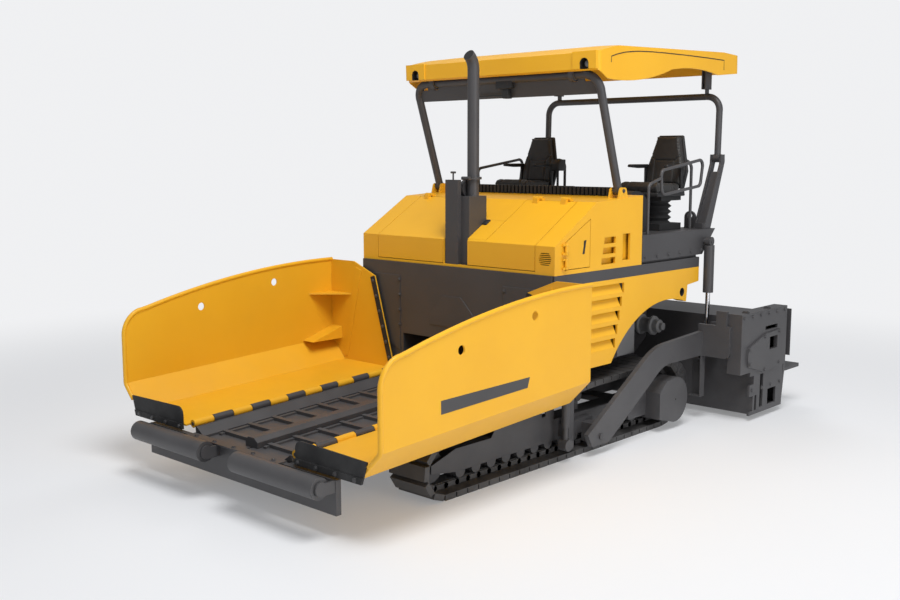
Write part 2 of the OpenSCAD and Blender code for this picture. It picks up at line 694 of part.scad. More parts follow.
module lid_zone(s, gap) side(s) {
    edge = s > 0 ? lid_in_left : lid_in_right;
    inner = s > 0 ? strip_x : lid_in_right;
    block([edge + gap, hood_front - 1, lid_low + gap], [lid_out - gap, hood_front + hood_t, nose_z + 40]);
    block([inner + gap, hood_front - 1, lid_low + gap], [lid_out - gap, crest_y - gap, crest_z + 40]);
}

module door_zone(s, gap) side(s) slab_x(half_w - hood_t - 1, half_w + 1, inset([[door_y, door_z],
    [door_y + door_l, door_z], [door_y + door_l, door_z + 450], [door_y, door_z + 250]], gap));

// Small hinges: a pin between two ears, with a leaf's ring on the pin
leaf_pin_d = 16;
leaf_ring_d = 34;
leaf_l = 60;
ear_l = 20;
leaf_z = crest_z + leaf_ring_d / 2 + 3;
lid_hinge_xs = [560, 900];
door_hinge_zs = [door_z + 60, door_z + 190];
door_pin_x = half_w + leaf_ring_d / 2 + 1;
module lid_ears(x) {
    for (x0 = [x - leaf_l / 2 - ear_l, x + leaf_l / 2]) {
        bar_x(x0, x0 + ear_l, crest_y, leaf_z, leaf_ring_d);
        block([x0, crest_y, crest_z - 15], [x0 + ear_l, crest_y + 45, leaf_z]);
    }
    bar_x(x - leaf_l / 2 - ear_l, x + leaf_l / 2 + ear_l, crest_y, leaf_z, leaf_pin_d);
}

module lid_leaf(x) difference() {
    union() {
        bar_x(x - leaf_l / 2 + 1, x + leaf_l / 2 - 1, crest_y, leaf_z, leaf_ring_d);
        block([x - leaf_l / 2 + 1, crest_y - 50, crest_z - 40], [x + leaf_l / 2 - 1, crest_y - panel_gap - 2, leaf_z]);
    }
    bar_x(x - leaf_l, x + leaf_l, crest_y, leaf_z, leaf_pin_d + run_fit);
}

module door_ears(z) {
    for (z0 = [z - leaf_l / 2 - ear_l, z + leaf_l / 2]) {
        bar_z(door_pin_x, door_y, z0, z0 + ear_l, leaf_ring_d);
        block([half_w - 10, door_y - 45, z0], [door_pin_x, door_y, z0 + ear_l]);
    }
    bar_z(door_pin_x, door_y, z - leaf_l / 2 - ear_l, z + leaf_l / 2 + ear_l, leaf_pin_d);
}

module door_leaf(z) difference() {
    union() {
        bar_z(door_pin_x, door_y, z - leaf_l / 2 + 1, z + leaf_l / 2 - 1, leaf_ring_d);
        block([half_w - 10, door_y + panel_gap + 2, z - leaf_l / 2 + 1], [door_pin_x, door_y + 50, z + leaf_l / 2 - 1]);
    }
    bar_z(door_pin_x, door_y, z - leaf_l, z + leaf_l, leaf_pin_d + run_fit);
}

ear_base = 78;
ear_top = 46;
vent_count = 3;
vent_y = 2215;
vent_lean = 20;
vent_rear = 2443;
vent_z = 1768;
vent_step = 97;
vent_h = 61;
slot_y = 2563;
slot_w = 127;
slot_z = 1786;
slot_h = 255;
horn_r = 70;
horn_slots = 3;
horn_step = 17;
horn_x = half_w - lid_edge / 2;
horn_z = 1865;
function horn_reach(i) = sqrt(horn_r * horn_r - pow(i * horn_step, 2));
module hood() color(yellow) place() {
    both() for (x = lid_hinge_xs) lid_ears(x);
    both() for (z = door_hinge_zs) door_ears(z);
    difference() {
        hood_shell();
        for (s = [-1, 1]) {
            lid_zone(s, 0);
            door_zone(s, 0);
        }
        block([-stack_half - 12, hood_front - 1, lid_low], [strip_x, stack_rear + 10, stack_box_z - 100]);
        both() for (i = [0:vent_count - 1])
            block([half_w - hood_t - 1, vent_y + i * vent_lean, vent_z + i * vent_step],
                [half_w + 1, vent_rear, vent_z + i * vent_step + vent_h]);
        both() block([half_w - hood_t - 1, slot_y, slot_z], [half_w + 1, slot_y + slot_w, slot_z + slot_h]);
        for (i = [-horn_slots:horn_slots])
            block([horn_x - horn_reach(i), hood_front - 1, horn_z + i * horn_step - 4],
                [horn_x + horn_reach(i), hood_front + hood_t + 1, horn_z + i * horn_step + 4]);
    }
    both() for (x = [post_x - post_d / 2 - side_gap - plate_t, post_x + post_d / 2 + side_gap / 2])
        slab_x(x, x + plate_t, concat(
            [[hoop_y - ear_base, hood_at(hoop_y - ear_base) - 10], [hoop_y + ear_base, hood_at(hoop_y + ear_base) - 10]],
            fillet([hoop_y + ear_base, hoop_z - 70], [hoop_y + ear_top, hoop_z + 32], [hoop_y, hoop_z + 32], 30),
            fillet([hoop_y, hoop_z + 32], [hoop_y - ear_top, hoop_z + 32], [hoop_y - ear_base, hoop_z - 70], 30)));
    both() bar_x(post_x - post_d / 2 - side_gap - plate_t, post_x + post_d / 2 + side_gap / 2 + plate_t,
        hoop_y, hoop_z, pin_d);
}

module lid(s) color(yellow) place() {
    intersection() {
        hood_shell();
        lid_zone(s, panel_gap);
    }
    side(s) for (x = lid_hinge_xs) lid_leaf(x);
}

handle_y = 1925;
handle_z = 1890;
module door(s) color(yellow) place() {
    intersection() {
        hood_shell();
        difference() {
            door_zone(s, panel_gap);
            side(s) block([half_w - 8, handle_y, handle_z], [half_w + 1, handle_y + 22, handle_z + 120]);
        }
    }
    side(s) for (z = door_hinge_zs) door_leaf(z);
}

// Stack between the lids, with a T-handle on its front channel and the foot of the exhaust pipe
stack_top = 2555;
handle_d = 16;
handle_top = 2625;
drum_d = 180;
drum_x = pipe_x - pipe_d / 2;
flange_t = 12;
flange_w = 25;
pipe_hinge_y = pipe_y - pipe_d / 2 - flange_w - leaf_ring_d / 2 - 3;
module stack() color(dark) place() {
    block([-stack_half, hood_front + 5, lid_low], [stack_half, hood_front + 50, stack_top]);
    block([-stack_half, hood_front + 50, belt_top], [lid_in_left - 15, stack_rear, stack_box_z]);
    bar_z(pipe_x, pipe_y, stack_box_z - 1, pipe_joint_z, pipe_d);
    bar_z(pipe_x, pipe_y, pipe_joint_z - flange_t, pipe_joint_z, pipe_d + 2 * flange_w);
    for (x = [pipe_x - leaf_l / 2 - ear_l, pipe_x + leaf_l / 2]) {
        bar_x(x, x + ear_l, pipe_hinge_y, pipe_joint_z, leaf_ring_d);
        block([x, pipe_hinge_y, pipe_joint_z - flange_t], [x + ear_l, pipe_y - pipe_d / 2, pipe_joint_z - 1]);
    }
    bar_x(pipe_x - leaf_l / 2 - ear_l, pipe_x + leaf_l / 2 + ear_l, pipe_hinge_y, pipe_joint_z, leaf_pin_d);
    bar_x(drum_x - 45, drum_x + 5, pipe_y, pipe_joint_z - flange_t - drum_d / 2 - 2, drum_d);
    bar_z(0, hood_front + 28, stack_top - 1, handle_top, handle_d);
    bar_x(-28, 28, hood_front + 28, handle_top, handle_d + 4);
}

seat_gap = 0.3;
pipe_bend_r = 160;
module exhaust_pipe() color(dark) place() {
    bar_z(pipe_x, pipe_y, pipe_joint_z + seat_gap, pipe_bend_z, pipe_d);
    bar_z(pipe_x, pipe_y, pipe_joint_z + seat_gap, pipe_joint_z + flange_t, pipe_d + 2 * flange_w);
    translate([pipe_x, pipe_y - pipe_bend_r, pipe_bend_z]) rotate([90, 0, 90])
        rotate_extrude(angle = 55) translate([pipe_bend_r, 0]) circle(d = pipe_d);
    difference() {
        union() {
            bar_x(pipe_x - leaf_l / 2 + 1, pipe_x + leaf_l / 2 - 1, pipe_hinge_y, pipe_joint_z, leaf_ring_d);
            block([pipe_x - leaf_l / 2 + 1, pipe_hinge_y, pipe_joint_z + 2],
                [pipe_x + leaf_l / 2 - 1, pipe_y - pipe_d / 2 - 5, pipe_joint_z + flange_t]);
        }
        bar_x(pipe_x - leaf_l, pipe_x + leaf_l, pipe_hinge_y, pipe_joint_z, leaf_pin_d + run_fit);
    }
}

grille_y = 2700;
fin_pitch = 50;
fin_count = 42;
fin_half = fin_count * fin_pitch / 2;
grille_h = 83;
grille_w = 80;
function hood_at(y) = crest_z + (y - crest_y) * (hood_rear_z - crest_z) / (hood_rear - crest_y);
module cowl_grille() color(black) place() translate([0, 0, hood_at(grille_y + grille_w)]) linear_extrude(grille_h)
    polygon(concat([[fin_half, grille_y + grille_w], [-fin_half, grille_y + grille_w]],
        [for (i = [0:fin_count - 1]) each [[-fin_half + i * fin_pitch, grille_y],
            [-fin_half + (i + 0.6) * fin_pitch, grille_y],
            [-fin_half + (i + 0.6) * fin_pitch, grille_y + 30],
            [-fin_half + (i + 1) * fin_pitch, grille_y + 30]]]));

box_in = half_w - box_w;
deck_z = 1990;
module side_box(s) color(dark) place() side(s) {
    slab_x(box_in, half_w, [[hood_rear + 10, belt_top + 25], [4077, belt_top + 25], [box_rear, box_z],
        [hood_rear + 10, box_z]]);
    block([box_in + 20, hood_rear + 60, belt_top], [half_w - 40, belt_rear, belt_top + 25]);
    bar_x(half_w, lift_x - eye_half - side_gap / 2, lift_y, lift_z, 2 * pin_d);
    bar_x(half_w, lift_x + eye_half + side_gap, lift_y, lift_z, pin_d);
}

// Lifting lugs on the rear corners of the side boxes
lug_mid = box_in + 115;
lug_t = 30;
lug_y = 4200;
lug_l = 130;
lug_h = 182;
lug_bore_d = 60;
lug_bore_z = box_z + 132;
module lifting_lugs() color(dark) place() both() difference() {
    slab_y(lug_y, lug_y + lug_t, concat([[lug_mid - lug_l / 2, box_z], [lug_mid + lug_l / 2, box_z]],
        arc([lug_mid, box_z + lug_h - lug_l / 2], lug_l / 2, 0, 180, 12)));
    bar_y(lug_mid, lug_y - 1, lug_y + lug_t + 1, lug_bore_z, lug_bore_d);
}

deck_rear = 4250;
module platform() color(dark) place() {
    block([-box_in, hood_rear + 10, deck_z - 25], [box_in, deck_rear, deck_z]);
    block([-box_in, deck_rear - plate_t, belt_top], [box_in, deck_rear, deck_z - 24]);
    block([-box_in, belt_rear - 40, belt_top], [box_in, deck_rear - plate_t + 1, belt_top + plate_t]);
}

console_half = 340;
hump_r = 240;
hump_y = 3160;
hump_z = 2190;
module console() color(dark) place() {
    slab_x(-console_half, console_half, concat([[hood_rear + 60, deck_z], [hood_rear + 520, deck_z]],
        fillet([hood_rear + 520, deck_z], [hood_rear + 500, 2400], [hood_rear + 60, 2480], 60),
        fillet([hood_rear + 500, 2400], [hood_rear + 60, 2480], [hood_rear + 60, deck_z], 40)));
    both() slab_x(seat_x - 170, seat_x + 150, concat([[hump_y - hump_r, box_z], [hump_y + hump_r, box_z]],
        arc([hump_y, hump_z], hump_r, 0, 180, 16)));
}

base_half = 170;
fold_count = 4;
fold_h = 60;
fold_d = 70;
base_y = seat_y - 120;
module seat_base(s) color(black) place() side(s) {
    block([seat_x - 190, seat_y - 330, box_z], [seat_x + 190, seat_y + 90, box_z + 70]);
    for (i = [0:fold_count - 1]) translate([seat_x, base_y, box_z + 70 + i * fold_h]) {
        cylinder(r1 = base_half, r2 = base_half - fold_d / 2, h = fold_h / 2);
        translate([0, 0, fold_h / 2]) cylinder(r1 = base_half - fold_d / 2, r2 = base_half, h = fold_h / 2);
    }
    block([seat_x - 200, seat_y - 330, box_z + 70 + fold_count * fold_h], [seat_x + 200, seat_y + 60, cushion_z - cushion_h]);
}

cushion_h = 140;
seat_lean = 10;
back_t = 95;
back_h = back_z - cushion_z + 60;
arm_pad_w = 60;
arm_pad_z = cushion_z + 150;
module seat(s) color(black) place() side(s) {
    slab_x(seat_x - seat_w / 2, seat_x + seat_w / 2, concat([[seat_y - 460, cushion_z - cushion_h],
        [seat_y + 90, cushion_z - cushion_h], [seat_y + 60, cushion_z]],
        fillet([seat_y + 60, cushion_z], [seat_y - 490, cushion_z + 20], [seat_y - 460, cushion_z - cushion_h], 50)));
    translate([seat_x, seat_y, cushion_z - 60]) rotate([-seat_lean, 0, 0]) slab_y(0, back_t, concat(
        [[-225, 0], [225, 0], [250, 200]], fillet([250, 200], [150, back_h], [-150, back_h], 50),
        fillet([150, back_h], [-150, back_h], [-250, 200], 50), [[-250, 200]]));
    for (t = [-1, 1]) {
        block([seat_x + t * (seat_w / 2 - 20) - arm_pad_w / 2, seat_y - 300, arm_pad_z],
            [seat_x + t * (seat_w / 2 - 20) + arm_pad_w / 2, seat_y + 60, arm_pad_z + 45]);
        block([seat_x + t * (seat_w / 2 - 20) - 12, seat_y + 5, cushion_z - 30],
            [seat_x + t * (seat_w / 2 - 20) + 12, seat_y + 55, arm_pad_z + 1]);
    }
}

rail_off = half_w - 28;
rail_r = 60;
rail_foot_y = 3040;
rail_low = [3290, 2390];
rail_front = [3262, 2635];
rail_top = [4090, 2748];
rail_rear = [4040, 2470];
rail_joint = (rail_low + rail_rear) / 2;
rail_step = 4 * unit(rail_rear - rail_low);
arch_y = 4130;
arch_top = 2735;
arch_in = 620;
function on_rail(p) = [rail_off, p.x, p.y];
module rail(s) color(grey) place() side(s) {
    tube([on_rail([rail_foot_y, box_z]), on_rail([rail_foot_y, 2500]), on_rail([3270, 2560])], rail_d - 3, rail_r);
    tube([on_rail(rail_joint - rail_step), on_rail(rail_low), on_rail(rail_front), on_rail(rail_top),
        on_rail(rail_rear), on_rail(rail_joint + rail_step)], rail_d, rail_r);
    rod(on_rail(rail_joint - 5 * rail_step), on_rail(rail_joint + 5 * rail_step), rail_d + 4);
    tube([[half_w - 190, arch_y, box_z], [half_w - 190, arch_y, arch_top], [arch_in, arch_y, arch_top],
        [arch_in, arch_y, deck_z]], rail_d, 1.5 * rail_r);
}

// Canopy: front hoop on the hood, rear hoop on the slanted posts, roof pivoted on the front hoop
visor_t = 12;
hoop_v = unit([hoop_top_y - hoop_y, hoop_top_z - hoop_z]);
function on_hoop(d) = [hoop_y, hoop_z] + hoop_v * d;
hoop_l = norm([hoop_top_y - hoop_y, hoop_top_z - hoop_z]);
hoop_r = 160;
visor_low = 190;
lug_r = 62;
lug_half = 25;
module front_hoop() color(dark) place() difference() {
    union() {
        both() bar_x(post_x - post_d / 2, post_x + post_d / 2, hoop_y, hoop_z, post_d);
        tube([[post_x, hoop_y, hoop_z], [post_x, hoop_top_y, hoop_top_z], [-post_x, hoop_top_y, hoop_top_z],
            [-post_x, hoop_y, hoop_z]], post_d, hoop_r);
        translate([0, hoop_y, hoop_z]) rotate([atan2(hoop_y - hoop_top_y, hoop_top_z - hoop_z), 0, 0])
        {
            block([-post_x + 10, -visor_t / 2, hoop_l - visor_low],
                [post_x - 10, visor_t / 2, hoop_l - lug_r - side_gap]);
            block([side_gap + lug_half - lug_x, -visor_t / 2, hoop_l - visor_low + 1],
                [lug_x - lug_half - side_gap, visor_t / 2, hoop_l]);
            both() block([lug_x + lug_half + side_gap, -visor_t / 2, hoop_l - visor_low + 1],
                [post_x - hoop_r, visor_t / 2, hoop_l]);
        }
    }
    both() bar_x(post_x - post_d, post_x + post_d, hoop_y, hoop_z, pin_d + run_fit);
}

// Roof shell, drawn level from its front lip and turned up to the rear: a skewed crown, a belly
// and a hollow along its lower side edge, round corners, and two lamp pods on the front corners
roof_l = roof_rear - roof_front;
crown_y = 1000;
crown_front_r = (pow(crown_y, 2) + pow(crown_h - lip_h, 2)) / (2 * (crown_h - lip_h));
crown_rear_r = (pow(roof_l - crown_y, 2) + pow(crown_h - rear_lip_h, 2)) / (2 * (crown_h - rear_lip_h));
cross_r = 15000;
belly = [450, -105];
belly_r = 3000;
hollow = [1621, 33];
hollow_r = 2900;
belly_front = 160;
belly_rear_y = 1250;
hollow_rear = 2203;
roof_corner_r = 70;
function below(c, r, y) = -90 + asin((y - c.x) / r);
function above(c, r, y) = 90 - asin((y - c.x) / r);
function crown_arc(t) = concat(
    arc([crown_y, crown_h - crown_rear_r], crown_rear_r - t, above([crown_y, 0], crown_rear_r - t, roof_l - t), 90, 10),
    arc([crown_y, crown_h - crown_front_r], crown_front_r - t, 90, above([crown_y, 0], crown_front_r - t, t), 10));
roof_line = concat([[0, 0]],
    arc(belly + [0, belly_r], belly_r, below(belly, belly_r, belly_front), below(belly, belly_r, belly_rear_y), 10),
    arc(hollow - [0, hollow_r], hollow_r, above(hollow, hollow_r, belly_rear_y), above(hollow, hollow_r, hollow_rear), 10),
    [[roof_l, 0]], crown_arc(0));
roof_void = concat([[roof_t, -3 * lip_h], [roof_l - roof_t, -3 * lip_h]], crown_arc(roof_t));
module roof_plan(h) translate([0, 0, -h]) linear_extrude(2 * h) union() {
    for (x = [-1, 1]) for (y = [roof_corner_r, roof_l - roof_corner_r])
        translate([x * (roof_half - roof_corner_r), y]) circle(r = roof_corner_r);
    translate([-roof_half, roof_corner_r]) square([2 * roof_half, roof_l - 2 * roof_corner_r]);
    translate([-roof_half + roof_corner_r, 0]) square([2 * (roof_half - roof_corner_r), roof_l]);
}

pod_w = 268;
pod_out = roof_half - 12;
pod_d = 150;
pod_proud = 10;
niche_d = 100;
niche_x = pod_out - pod_w / 2;
niche_z = 50;
lug_x = 900;
cheek_x = 1000;
cheek_l = 130;
cheek_low = rear_top_z + rear_tube_d / 2 + 45;
function ceiling(y) = let (d = y - roof_front, r = d < crown_y ? crown_front_r : crown_rear_r)
    roof_z + d * tan(roof_tilt) + crown_h - r + sqrt(pow(r - roof_t, 2) - pow(d - crown_y, 2));
module roof() color(yellow) place() {
    translate([0, roof_front, roof_z]) rotate([roof_tilt, 0, 0]) difference() {
        union() {
            difference() {
                intersection() {
                    slab_x(-roof_half, roof_half, roof_line);
                    bar_y(0, -1, roof_l + 1, crown_h + 3 - cross_r, 2 * cross_r, $fn = 400);
                    roof_plan(4 * lip_h);
                }
                slab_x(-roof_half + roof_side_t, roof_half - roof_side_t, roof_void);
            }
            both() block([pod_out - pod_w, -pod_proud, 0], [pod_out, pod_d, lip_h + pod_proud]);
        }
        both() bar_y(niche_x, -2 * pod_proud, pod_d / 2, niche_z, niche_d);
        both() block([niche_x - niche_d / 2, -2 * pod_proud, -1], [niche_x + niche_d / 2, pod_d / 2, niche_z]);
    }
    difference() {
        both() {
            bar_x(lug_x - lug_half, lug_x + lug_half, hoop_top_y, hoop_top_z, 2 * lug_r);
            block([lug_x - lug_half, hoop_top_y - lug_r, hoop_top_z],
                [lug_x + lug_half, hoop_top_y + lug_r, ceiling(hoop_top_y) + roof_t / 2]);
        }
        bar_x(-post_x, post_x, hoop_top_y, hoop_top_z, post_d + run_fit);
    }
    both() for (x = [cheek_x - 5 - side_gap - 12, cheek_x + 5 + side_gap])
        block([x, rear_hoop_y - cheek_l / 2, cheek_low],
            [x + 12, rear_hoop_y + cheek_l / 2, ceiling(rear_hoop_y) + roof_t / 2]);
}

rear_hoop_r = 150;
rear_eye_d = 90;
rear_top_y = rear_hoop_y + 15;
module rear_hoop() color(dark) place() difference() {
    union() {
        both() {
            bar_x(rear_post_x - 40, rear_post_x + 40, rear_hoop_y, rear_hoop_z, rear_eye_d);
            block([cheek_x - 5, rear_top_y - 35, rear_top_z], [cheek_x + 5, rear_top_y + 35, cheek_low + 60]);
        }
        tube([[rear_post_x, rear_hoop_y, rear_hoop_z], [rear_post_x, rear_top_y, rear_top_z],
            [-rear_post_x, rear_top_y, rear_top_z], [-rear_post_x, rear_hoop_y, rear_hoop_z]], rear_tube_d, rear_hoop_r);
    }
    both() bar_x(rear_post_x - 60, rear_post_x + 60, rear_hoop_y, rear_hoop_z, pin_d + run_fit);
}

foot_y = 4150;
module rear_posts() color(dark) place() both() {
    for (x = [rear_post_x - 40 - side_gap - plate_t, rear_post_x + 40 + side_gap])
        slab_x(x, x + plate_t, [[foot_y, box_z], [foot_y + 130, box_z], [rear_hoop_y + 45, rear_hoop_z - 40],
            [rear_hoop_y + 40, rear_hoop_z + 40], [rear_hoop_y - 40, rear_hoop_z + 40], [rear_hoop_y - 45, rear_hoop_z - 60]]);
    block([rear_post_x - 40 - side_gap, foot_y, box_z], [rear_post_x + 40 + side_gap, foot_y + 110, box_z + 60]);
    bar_x(rear_post_x - 40 - side_gap - plate_t, rear_post_x + 40 + side_gap + plate_t, rear_hoop_y, rear_hoop_z, pin_d);
}

// Tow point on a guide at the track frame, with the tow pin
guide_x = cheek_out + cheek_t;
level_y = tow_y - 420;
level_d = 50;
level_x = half_w + 50;
module tow_guides() color(dark) place() both() {
    block([guide_x, tow_y - 330, 200], [half_w - 30, tow_y + 120, 330]);
    block([half_w - 31, tow_y - 330, 90], [half_w + 20, tow_y - 250, 520]);
    block([half_w + 2, tow_y - 330, 519], [half_w + 20, tow_y - 250, 620]);
    block([half_w - 31, tow_y - 60, 120], [arm_in - side_gap, tow_y + 60, 300]);
    bar_x(arm_in - side_gap - 1, arm_x + 15, tow_y, tow_z, tow_pin_d);
    block([half_w + 2, level_y - 30, 560], [level_x + 30, tow_y - 329, 620]);
    block([half_w + 2, level_y - 30, 130], [level_x + 30, tow_y - 329, 190]);
    bar_z(level_x, level_y, 150, 600, level_d);
    bar_z(level_x, level_y, 330, 580, level_d + 24);
    bar_x(half_w + 5, level_x + 45, level_y, 163, 110);
}

arm_rear = sole_front + 20;
arm_low = 691;
arm_top = 963;
knee_low = [3130, 700];
knee_top = [2960, 905];
arm_line = concat([[1908, 100], [2173, 96]], fillet([2173, 96], knee_low, [arm_rear, arm_low], 450),
    [[arm_rear, arm_low], [arm_rear, arm_top], [4064, arm_top]], fillet([4064, arm_top], knee_top, [1837, 224], 700),
    [[1837, 224]]);
step_y = 3860;
step_low = 246;
step_w = 85;
step_t = 12;
pad_low = 640;
pad_top = 1015;
pad_l = 80;
module tow_arm(s) color(grey) place() side(s) {
    difference() {
        slab_x(arm_in, arm_x, arm_line);
        bar_x(arm_in - 1, arm_x + 1, tow_y, tow_z, tow_pin_d + run_fit);
    }
    slab_x(arm_in - 8, arm_x + 6, concat([[arm_rear - pad_l, pad_low + 40]],
        [[arm_rear - pad_l + 40, pad_low], [arm_rear, pad_low], [arm_rear, pad_top], [arm_rear - pad_l, pad_top]]));
    slab_y(end_front - hanger_t, end_front, concat([[arm_in, hanger_low]],
        fillet([arm_in, hanger_low], [end_in + 40, hanger_low], [end_in + 40, hanger_top], 60),
        [[end_in + 40, hanger_top], [arm_in, hanger_top]]));
    block([end_in - 120, end_front - hanger_t, hanger_top - 1], [end_in, end_front, screed_top_z + 24]);
    block([arm_x - step_t, step_y, step_low], [arm_x, step_y + step_w, arm_low + 20]);
    block([arm_in - 90, step_y + step_w - step_t, step_low], [arm_x, step_y + step_w, arm_low]);
    for (z = [step_low, arm_low - 40]) block([arm_in - 90, step_y, z], [arm_x, step_y + step_w, z + step_t]);
    block([lift_x - clevis_half, lift_y - 60, rod_eye_z - 110], [arm_in + 1, lift_y + 60, rod_eye_z - 90]);
    for (x = [lift_x - clevis_half, lift_x + clevis_half - clevis_t])
        slab_x(x, x + clevis_t, [[lift_y - 60, rod_eye_z - 100], [lift_y + 60, rod_eye_z - 100],
            [lift_y + 30, rod_eye_z + 40], [lift_y - 30, rod_eye_z + 40]]);
}

// Screed: hollow main box with sole and mouldboard, end boxes outside the arms, pierced end plates
// with a raised cover, rear guards and a walkway
end_front = 3910;
screed_rear = 4940;
sole_t = 60;
end_in = screed_half - 175;
guard_in = arm_x + 130;
hanger_low = 690;
hanger_top = 1030;
hanger_t = 40;
end_low = 500;
body_top = 1080;
screed_wall = 40;
end_t = 25;
cover_t = 20;
shell_t = 15;
screed_line = [[sole_front, sole_z], [sole_rear, sole_z], [sole_rear, sole_z + sole_t], [screed_rear, end_low],
    [screed_rear, body_top], [sole_front + 20, body_top], [sole_front + 20, end_low]];
end_foot = sole_front - 70;
end_line = [[end_foot, sole_z], [sole_rear, sole_z], [sole_rear, end_low], [screed_rear, end_low + 60],
    [screed_rear, screed_top_z - 40], [screed_rear - 40, screed_top_z], [end_front, screed_top_z], [end_front, end_low + 30],
    [end_foot, end_low + 30]];
cover_low = 500;
cover_line = concat([[4420, 910], [4050, 800]], [[4030, 700], [4050, 600], [4400, cover_low]], [[4760, 530], [4760, 925]]);
windows = [[4510, 730, 180, 135], [4100, 393, 120, 90], [4085, 105, 205, 160], [4540, 120, 190, 170]];
guard_t = 12;
guard_low = 590;
guard_d = 110;
module end_plate() difference() {
    slab_x(screed_half - cover_t - end_t, screed_half - cover_t, end_line);
    for (w = windows) block([screed_half - 2 * cover_t - end_t, w[0], w[1]], [screed_half + 1, w[0] + w[2], w[1] + w[3]]);
    block([screed_half - 2 * cover_t - end_t, 4360, 120], [screed_half + 1, 4430, 480]);
    block([screed_half - 2 * cover_t - end_t, 4440, 945], [screed_half + 1, 4720, 985]);
}

module screed() color(dark) place() {
    difference() {
        slab_x(-screed_half + cover_t, screed_half - cover_t, screed_line);
        slab_x(-screed_half, screed_half, inset(screed_line, screed_wall));
    }
    both() {
        difference() {
            block([end_in, end_front, end_low + 30], [screed_half - cover_t, screed_rear, screed_top_z]);
            block([end_in + shell_t, end_front + shell_t, end_low + 29], [screed_half - cover_t + 1, screed_rear - shell_t,
                screed_top_z - shell_t]);
        }
        end_plate();
        difference() {
            slab_x(screed_half - cover_t - 1, screed_half, cover_line);
            block([screed_half - 2 * cover_t, windows[0][0], windows[0][1]],
                [screed_half + 1, windows[0][0] + windows[0][2], windows[0][1] + windows[0][3]]);
        }
        for (y = [4080, 4560])
            block([end_in + 60, y, screed_top_z - 1], [screed_half - cover_t - 30, y + 40, screed_top_z + 8]);
        block([guard_in + 80, screed_rear - 1, 950], [guard_in + 140, screed_rear + guard_d, 980]);
        block([guard_in, screed_rear + guard_d - guard_t, guard_low],
            [screed_half - cover_t, screed_rear + guard_d, 1110]);
    }
    block([-screed_half + 60, screed_rear - 1, walkway_z - 40], [screed_half - 60, walkway_rear, walkway_z]);
    both() for (x = [400, 1300]) slab_x(x, x + plate_t, [[screed_rear - 1, walkway_z - 1], [walkway_rear - 60, walkway_z - 1],
        [screed_rear - 1, walkway_z + 250]]);
}

barrel_low = 1335;
rod_eye_z = 860;
lift_x = half_w + 60;
eye_half = 30;
tongue_half = 12;
tongue_h = 110;
clevis_t = 8;
clevis_half = tongue_half + 3 + clevis_t;
module lift_barrels() color(dark) place() both() {
    difference() {
        union() {
            bar_z(lift_x, lift_y, barrel_low, lift_z - 40, barrel_d);
            bar_x(lift_x - eye_half, lift_x + eye_half, lift_y, lift_z, 100);
        }
        bar_z(lift_x, lift_y, barrel_low - 1, lift_z - 120, rod_d + run_fit);
        bar_x(lift_x - eye_half - 1, lift_x + eye_half + 1, lift_y, lift_z, pin_d + run_fit);
    }
}

module lift_rods() color(steel) place() both() {
    bar_z(lift_x, lift_y, rod_eye_z + tongue_h - 5, barrel_low + 150, rod_d);
    block([lift_x - tongue_half, lift_y - 22, rod_eye_z], [lift_x + tongue_half, lift_y + 22, rod_eye_z + tongue_h]);
    bar_x(lift_x - tongue_half, lift_x + tongue_half, lift_y, rod_eye_z, 80);
}

// Auger drive case under the tail, with one auger on each side
case_half = 90;
auger_shaft_d = 80;
auger_out = 1180;
auger_turns = 4;
module auger_case() color(dark) place() difference() {
    block([-case_half, auger_y - 90, auger_z - 90], [case_half, tail_y, tunnel_z]);
    bar_x(-case_half - 1, case_half + 1, auger_y, auger_z, auger_shaft_d + run_fit);
}

module auger(s) color(grey) place() side(s) {
    bar_x(5, auger_out, auger_y, auger_z, auger_shaft_d);
    translate([case_half + 20, auger_y, auger_z]) rotate([0, 90, 0])
        linear_extrude(auger_out - case_half - 30, twist = 360 * auger_turns, slices = 14 * auger_turns, segments = 4)
            translate([0, -6]) square([auger_r, 12]);
}

main_frame();
belt_frame();
back_wall();
hinge_rail(1);  // hinge_rail_left
hinge_rail(-1);  // hinge_rail_right
conveyor(1);  // conveyor_left
conveyor(-1);  // conveyor_right
hopper_ridge();
push_beam();
push_roller(1);  // push_roller_left
push_roller(-1);  // push_roller_right
wing(1);  // wing_left
wing(-1);  // wing_right
flap(1);  // flap_left
flap(-1);  // flap_right
track(1);  // track_left
track(-1);  // track_right
track_frame(1);  // track_frame_left
track_frame(-1);  // track_frame_right
track_rollers(1);  // track_rollers_left
track_rollers(-1);  // track_rollers_right
drive_cover(1);  // drive_cover_left
drive_cover(-1);  // drive_cover_right
engine();
tank(1);  // tank_left
tank(-1);  // tank_right
skirt(1);  // skirt_left
skirt(-1);  // skirt_right
hood();
lid(1);  // lid_left
lid(-1);  // lid_right
door(1);  // door_left
door(-1);  // door_right
stack();
exhaust_pipe();
cowl_grille();
platform();
side_box(1);  // side_box_left
side_box(-1);  // side_box_right
console();
seat_base(1);  // seat_base_left
seat_base(-1);  // seat_base_right
seat(1);  // seat_left
seat(-1);  // seat_right
rail(1);  // rail_left
rail(-1);  // rail_right
front_hoop();
roof();
rear_hoop();
rear_posts();
tow_guides();
tow_arm(1);  // tow_arm_left
tow_arm(-1);  // tow_arm_right
screed();
lift_barrels();
lift_rods();
auger_case();
auger(1);  // auger_left
auger(-1);  // auger_right
lifting_lugs();
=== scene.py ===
import json
import math

import bmesh
import bpy
from mathutils import Euler, Matrix, Vector


